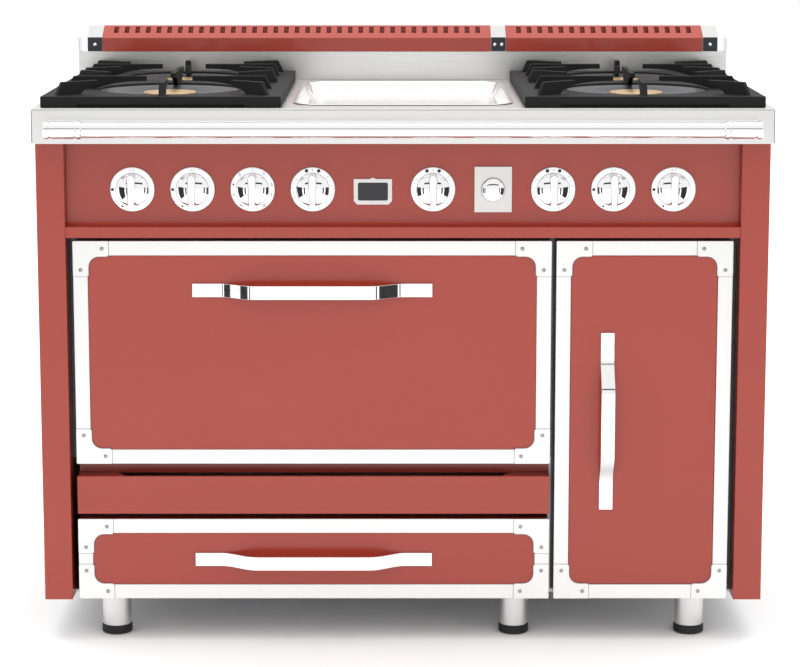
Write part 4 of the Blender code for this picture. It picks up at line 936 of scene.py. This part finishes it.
    def grate(self, side):
        """A cast plate with two round openings, and fins round each burner."""
        s = sizes()
        node = "grate_" + side
        low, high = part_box(node)
        floor, plate_top = low.z, low.z + PLATE_THICK
        base = plate_top - FIN_SINK
        fins = []
        centre_x = (low.x + high.x) / 2
        burners = [(middle(f"burner_{row}_{side}"), row) for row in ("front", "rear")]
        rows = {"front": (-1, low.y + PLATE_MARGIN, BOWL_FRONT), "rear": (1, high.y - PLATE_MARGIN, BOWL_REAR)}
        split = (burners[0][0].y + BOWL_FRONT + burners[1][0].y - BOWL_REAR) / 2
        body = piece(side + "_grate_plate", block((low.x, low.y, floor), (high.x, high.y, plate_top)),
                     "cast_iron", "range", node)
        for centre, row in burners:
            ahead, edge, bowl = rows[row]
            outer, inner = abs(edge - centre.y), abs(split - centre.y)
            hub = Vector((centre_x, centre.y, 0))
            reach = (high.x - low.x) / 2 - 0.022
            fins.append(self.fin(hub, ahead * math.pi / 2, 0.072, outer, base, high.z))
            fins.append(self.fin(hub, -ahead * math.pi / 2, 0.060, inner + FIN_THICK / 2, base, high.z))
            rise = min(outer, inner) - FIN_THICK
            angle, long = math.atan2(rise, reach), math.hypot(rise, reach)
            for flip in (0, math.pi):
                fins.append(self.fin(hub, flip, 0.039, reach, base, high.z))
                for bend in (angle, -angle):
                    fins.append(self.fin(hub, flip + bend, long - 0.080, long, base, high.z))
            cut(body, lathe([(bowl, floor - 0.01), (bowl, plate_top + 0.01)], (hub.x, hub.y, 0), steps=96))
        cut(body, block((low.x + NOTCH_INSET, low.y - 0.01, floor - 0.01),
                        (high.x - NOTCH_INSET, low.y + NOTCH_RISE, floor + NOTCH_RISE)))
        round_edges(body, s.cast, 2)
        piece(side + "_grate_fins", gather(fins), "cast_iron", "range", edge=s.cast * 0.8)


def cut(obj, bm):
    """Cut a shape out of a piece."""
    mesh = bpy.data.meshes.new("tool")
    bmesh.ops.recalc_face_normals(bm, faces=bm.faces)
    bm.to_mesh(mesh)
    bm.free()
    tool = bpy.data.objects.new("tool", mesh)
    bpy.context.scene.collection.objects.link(tool)
    modifier = obj.modifiers.new("cut", "BOOLEAN")
    modifier.operation, modifier.object = "DIFFERENCE", tool
    bpy.context.view_layer.update()
    result = bpy.data.meshes.new_from_object(obj.evaluated_get(bpy.context.evaluated_depsgraph_get()))
    obj.modifiers.clear()
    obj.data = result
    bpy.data.objects.remove(tool)
    result.shade_smooth()
    result.set_sharp_from_angle(angle=math.radians(35))


def round_edges(obj, width, segments):
    """Round a finished piece's sharp edges."""
    bevel = obj.modifiers.new("rounding", "BEVEL")
    bevel.width, bevel.segments = width, segments
    bevel.limit_method, bevel.angle_limit = "ANGLE", math.radians(ROUNDED_ABOVE)
    obj.modifiers.new("even shading", "WEIGHTED_NORMAL").keep_sharp = True


class GASRANGE_OT_back_guard(bpy.types.Operator):
    """Build the riser, its bracket fronts and screws, and the two slotted vent bars"""

    bl_idname = "gas_range.back_guard"
    bl_label = "Riser and vents"

    def execute(self, context):
        piece("back_guard", node_shape("riser"), "brushed_steel_x", "range", "riser", 0.0008)
        for side in ("left", "right"):
            node = "vent_bar_" + side
            piece(side + "_rear_vent", node_shape(node), "gloss_paint", "range", node, 0.0005)
        left, right = span("vent_bar_left", 0), span("vent_bar_right", 0)
        beside, half = BRACKET_WIDTH / 2 + 0.0008, BRACKET_WIDTH / 2
        spots = [(left[0] - beside, 1), ((left[1] + right[0]) / 2, 2), (right[1] + beside, 1)]
        front, shelf = span("riser", 1)[0], span("vent_bar_left", 2)[0]
        faces, screws = [], []
        for x, count in spots:
            sheet = rounded_sheet((x - half, x + half), (shelf + 0.0005, shelf + 0.0005 + BRACKET_RISE),
                                  0.0015, 3)
            push(sheet, (0, -BRACKET_SHEET, 0))
            faces.append(move(sheet, (0, front + 2 * LAP, 0)))
            for i in range(count):
                at = x + (i - (count - 1) / 2) * BRACKET_SCREW_GAP
                height = shelf + BRACKET_RISE / 2
                screws.append(move(screw(BRACKET_SCREW), (at, front - BRACKET_SHEET + 2 * LAP, height)))
        piece("bracket_faces", gather(faces), "dark_print", "range", edge=0.0003)
        piece("bracket_screws", gather(screws), "chrome_plate", "range", angle=30)
        return {"FINISHED"}


class GASRANGE_OT_stage(bpy.types.Operator):
    """Make the floor, the light and the camera"""

    bl_idname = "gas_range.stage"
    bl_label = "Stage"

    def execute(self, context):
        stage = context.scene.range_stage
        self.floor(stage)
        self.surroundings(context.scene, stage)
        self.cards()
        self.lamps(stage)
        self.camera(context.scene, stage)
        context.scene.view_settings.view_transform = "Standard"
        return {"FINISHED"}

    def floor(self, stage):
        """A large plain floor."""
        bm = bmesh.new()
        bmesh.ops.create_grid(bm, x_segments=1, y_segments=1, size=15.0)
        mesh = bpy.data.meshes.new("floor")
        bm.to_mesh(mesh)
        bm.free()
        floor = bpy.data.objects.new("floor", mesh)
        bpy.context.scene.collection.objects.link(floor)
        material = bpy.data.materials.new("floor")
        material.use_nodes = True
        shader = material.node_tree.nodes["Principled BSDF"]
        shader.inputs["Base Color"].default_value = (*stage.floor, 1.0)
        shader.inputs["Roughness"].default_value = 0.7
        shader.inputs["Specular IOR Level"].default_value = 0.1
        mesh.materials.append(material)

    def surroundings(self, scene, stage):
        """White behind the range and in its shiny metal; other light comes mostly from overhead."""
        world = bpy.data.worlds.new("studio")
        scene.world = world
        world.use_nodes = True
        tree = world.node_tree
        light = tree.nodes["Background"]
        light.inputs["Strength"].default_value = stage.sky
        place = tree.nodes.new("ShaderNodeTexCoord")
        split = tree.nodes.new("ShaderNodeSeparateXYZ")
        tree.links.new(place.outputs["Generated"], split.inputs["Vector"])
        ramp = tree.nodes.new("ShaderNodeValToRGB")
        ramp.color_ramp.elements[0].color = (0.24, 0.24, 0.245, 1)
        ramp.color_ramp.elements[1].color = (1, 1, 1, 1)
        ramp.color_ramp.elements.new(0.22).color = (0.68, 0.68, 0.685, 1)
        tree.links.new(split.outputs["Z"], ramp.inputs["Fac"])
        ray = tree.nodes.new("ShaderNodeLightPath")
        shine = tree.nodes.new("ShaderNodeMix")
        shine.data_type = "RGBA"
        shine.inputs["B"].default_value = (0.545, 0.545, 0.545, 1)
        tree.links.new(ray.outputs["Is Glossy Ray"], shine.inputs["Factor"])
        tree.links.new(ramp.outputs["Color"], shine.inputs["A"])
        tree.links.new(shine.outputs["Result"], light.inputs["Color"])
        backdrop = tree.nodes.new("ShaderNodeBackground")
        backdrop.inputs["Color"].default_value = (1, 1, 1, 1)
        blend = tree.nodes.new("ShaderNodeMixShader")
        tree.links.new(ray.outputs["Is Camera Ray"], blend.inputs["Fac"])
        tree.links.new(light.outputs["Background"], blend.inputs[1])
        tree.links.new(backdrop.outputs["Background"], blend.inputs[2])
        tree.links.new(blend.outputs["Shader"], tree.nodes["World Output"].inputs["Surface"])

    def cards(self):
        """Black cards beside and in front of the range, seen only in its shiny metal."""
        depths = ((-1.75, -1.45), (-1.20, -0.62))
        side = [((x, y0, 0.05), (x + 0.01, y1, 0.84)) for x in (-1.15, 1.14) for y0, y1 in depths]
        front = ((-2.5, -3.5, 1.95), (2.5, -3.49, 2.45))
        black = bpy.data.materials.new("card")
        black.use_nodes = True
        shader = black.node_tree.nodes["Principled BSDF"]
        shader.inputs["Base Color"].default_value = (0.03, 0.03, 0.032, 1)
        shader.inputs["Specular IOR Level"].default_value = 0.0
        for index, (low, high) in enumerate([*side, front]):
            mesh = bpy.data.meshes.new("card")
            bm = block(low, high)
            bm.to_mesh(mesh)
            bm.free()
            mesh.materials.append(black)
            card = bpy.data.objects.new(f"card_{index}", mesh)
            bpy.context.scene.collection.objects.link(card)
            card.visible_camera = card.visible_diffuse = card.visible_shadow = False
            card.visible_transmission = card.visible_volume_scatter = False

    def lamps(self, stage):
        """A broad soft light straight above the range."""
        lamp = bpy.data.lights.new("key", "AREA")
        lamp.shape, lamp.size, lamp.size_y = "RECTANGLE", 4.0, 2.0
        lamp.energy = stage.key
        obj = bpy.data.objects.new("key", lamp)
        bpy.context.scene.collection.objects.link(obj)
        obj.location = (0.0, 0.1, 3.4)

    def camera(self, scene, stage):
        """A long lens, a little above the hob and looking slightly down."""
        lens = bpy.data.cameras.new("camera")
        lens.lens, lens.sensor_width, lens.shift_y = stage.lens, 36.0, stage.shift
        lens.clip_end = 60.0
        camera = bpy.data.objects.new("camera", lens)
        scene.collection.objects.link(camera)
        posts = span("side_panel_left", 1)[0]
        camera.location = (-0.0049, posts - stage.distance, stage.height)
        camera.rotation_euler = (math.pi / 2 - stage.pitch, 0, 0)
        scene.camera = camera


class GASRANGE_PT_panel(bpy.types.Panel):
    """Lists the builders and the settings."""

    bl_label = "Gas range"
    bl_idname = "GASRANGE_PT_panel"
    bl_space_type = "VIEW_3D"
    bl_region_type = "UI"
    bl_category = "Range"

    def draw(self, context):
        for builder in BUILDERS:
            self.layout.operator(builder.bl_idname)
        for group in (context.scene.range_sizes, context.scene.range_colours, context.scene.range_stage):
            column = self.layout.column()
            for key in group.bl_rna.properties.keys():
                if key not in ("rna_type", "name"):
                    column.prop(group, key)


SETTINGS = {"range_sizes": RangeSizes, "range_colours": RangeColours, "range_stage": RangeStage}
BUILDERS = (GASRANGE_OT_body, GASRANGE_OT_doors, GASRANGE_OT_racks, GASRANGE_OT_controls, GASRANGE_OT_hob,
            GASRANGE_OT_back_guard, GASRANGE_OT_stage)


def register():
    """Add the settings, builders and panel."""
    for name, group in SETTINGS.items():
        bpy.utils.register_class(group)
        setattr(bpy.types.Scene, name, PointerProperty(type=group))
    for cls in (*BUILDERS, GASRANGE_PT_panel):
        bpy.utils.register_class(cls)


def unregister():
    """Take them away again."""
    for cls in (GASRANGE_PT_panel, *reversed(BUILDERS)):
        bpy.utils.unregister_class(cls)
    for name, group in SETTINGS.items():
        delattr(bpy.types.Scene, name)
        bpy.utils.unregister_class(group)


def main():
    """Build every piece and the stage."""
    register()
    make_looks()
    for builder in BUILDERS:
        folder, name = builder.bl_idname.split(".")
        getattr(getattr(bpy.ops, folder), name)()
    bpy.context.view_layer.update()


if __name__ == "__main__":
    main()
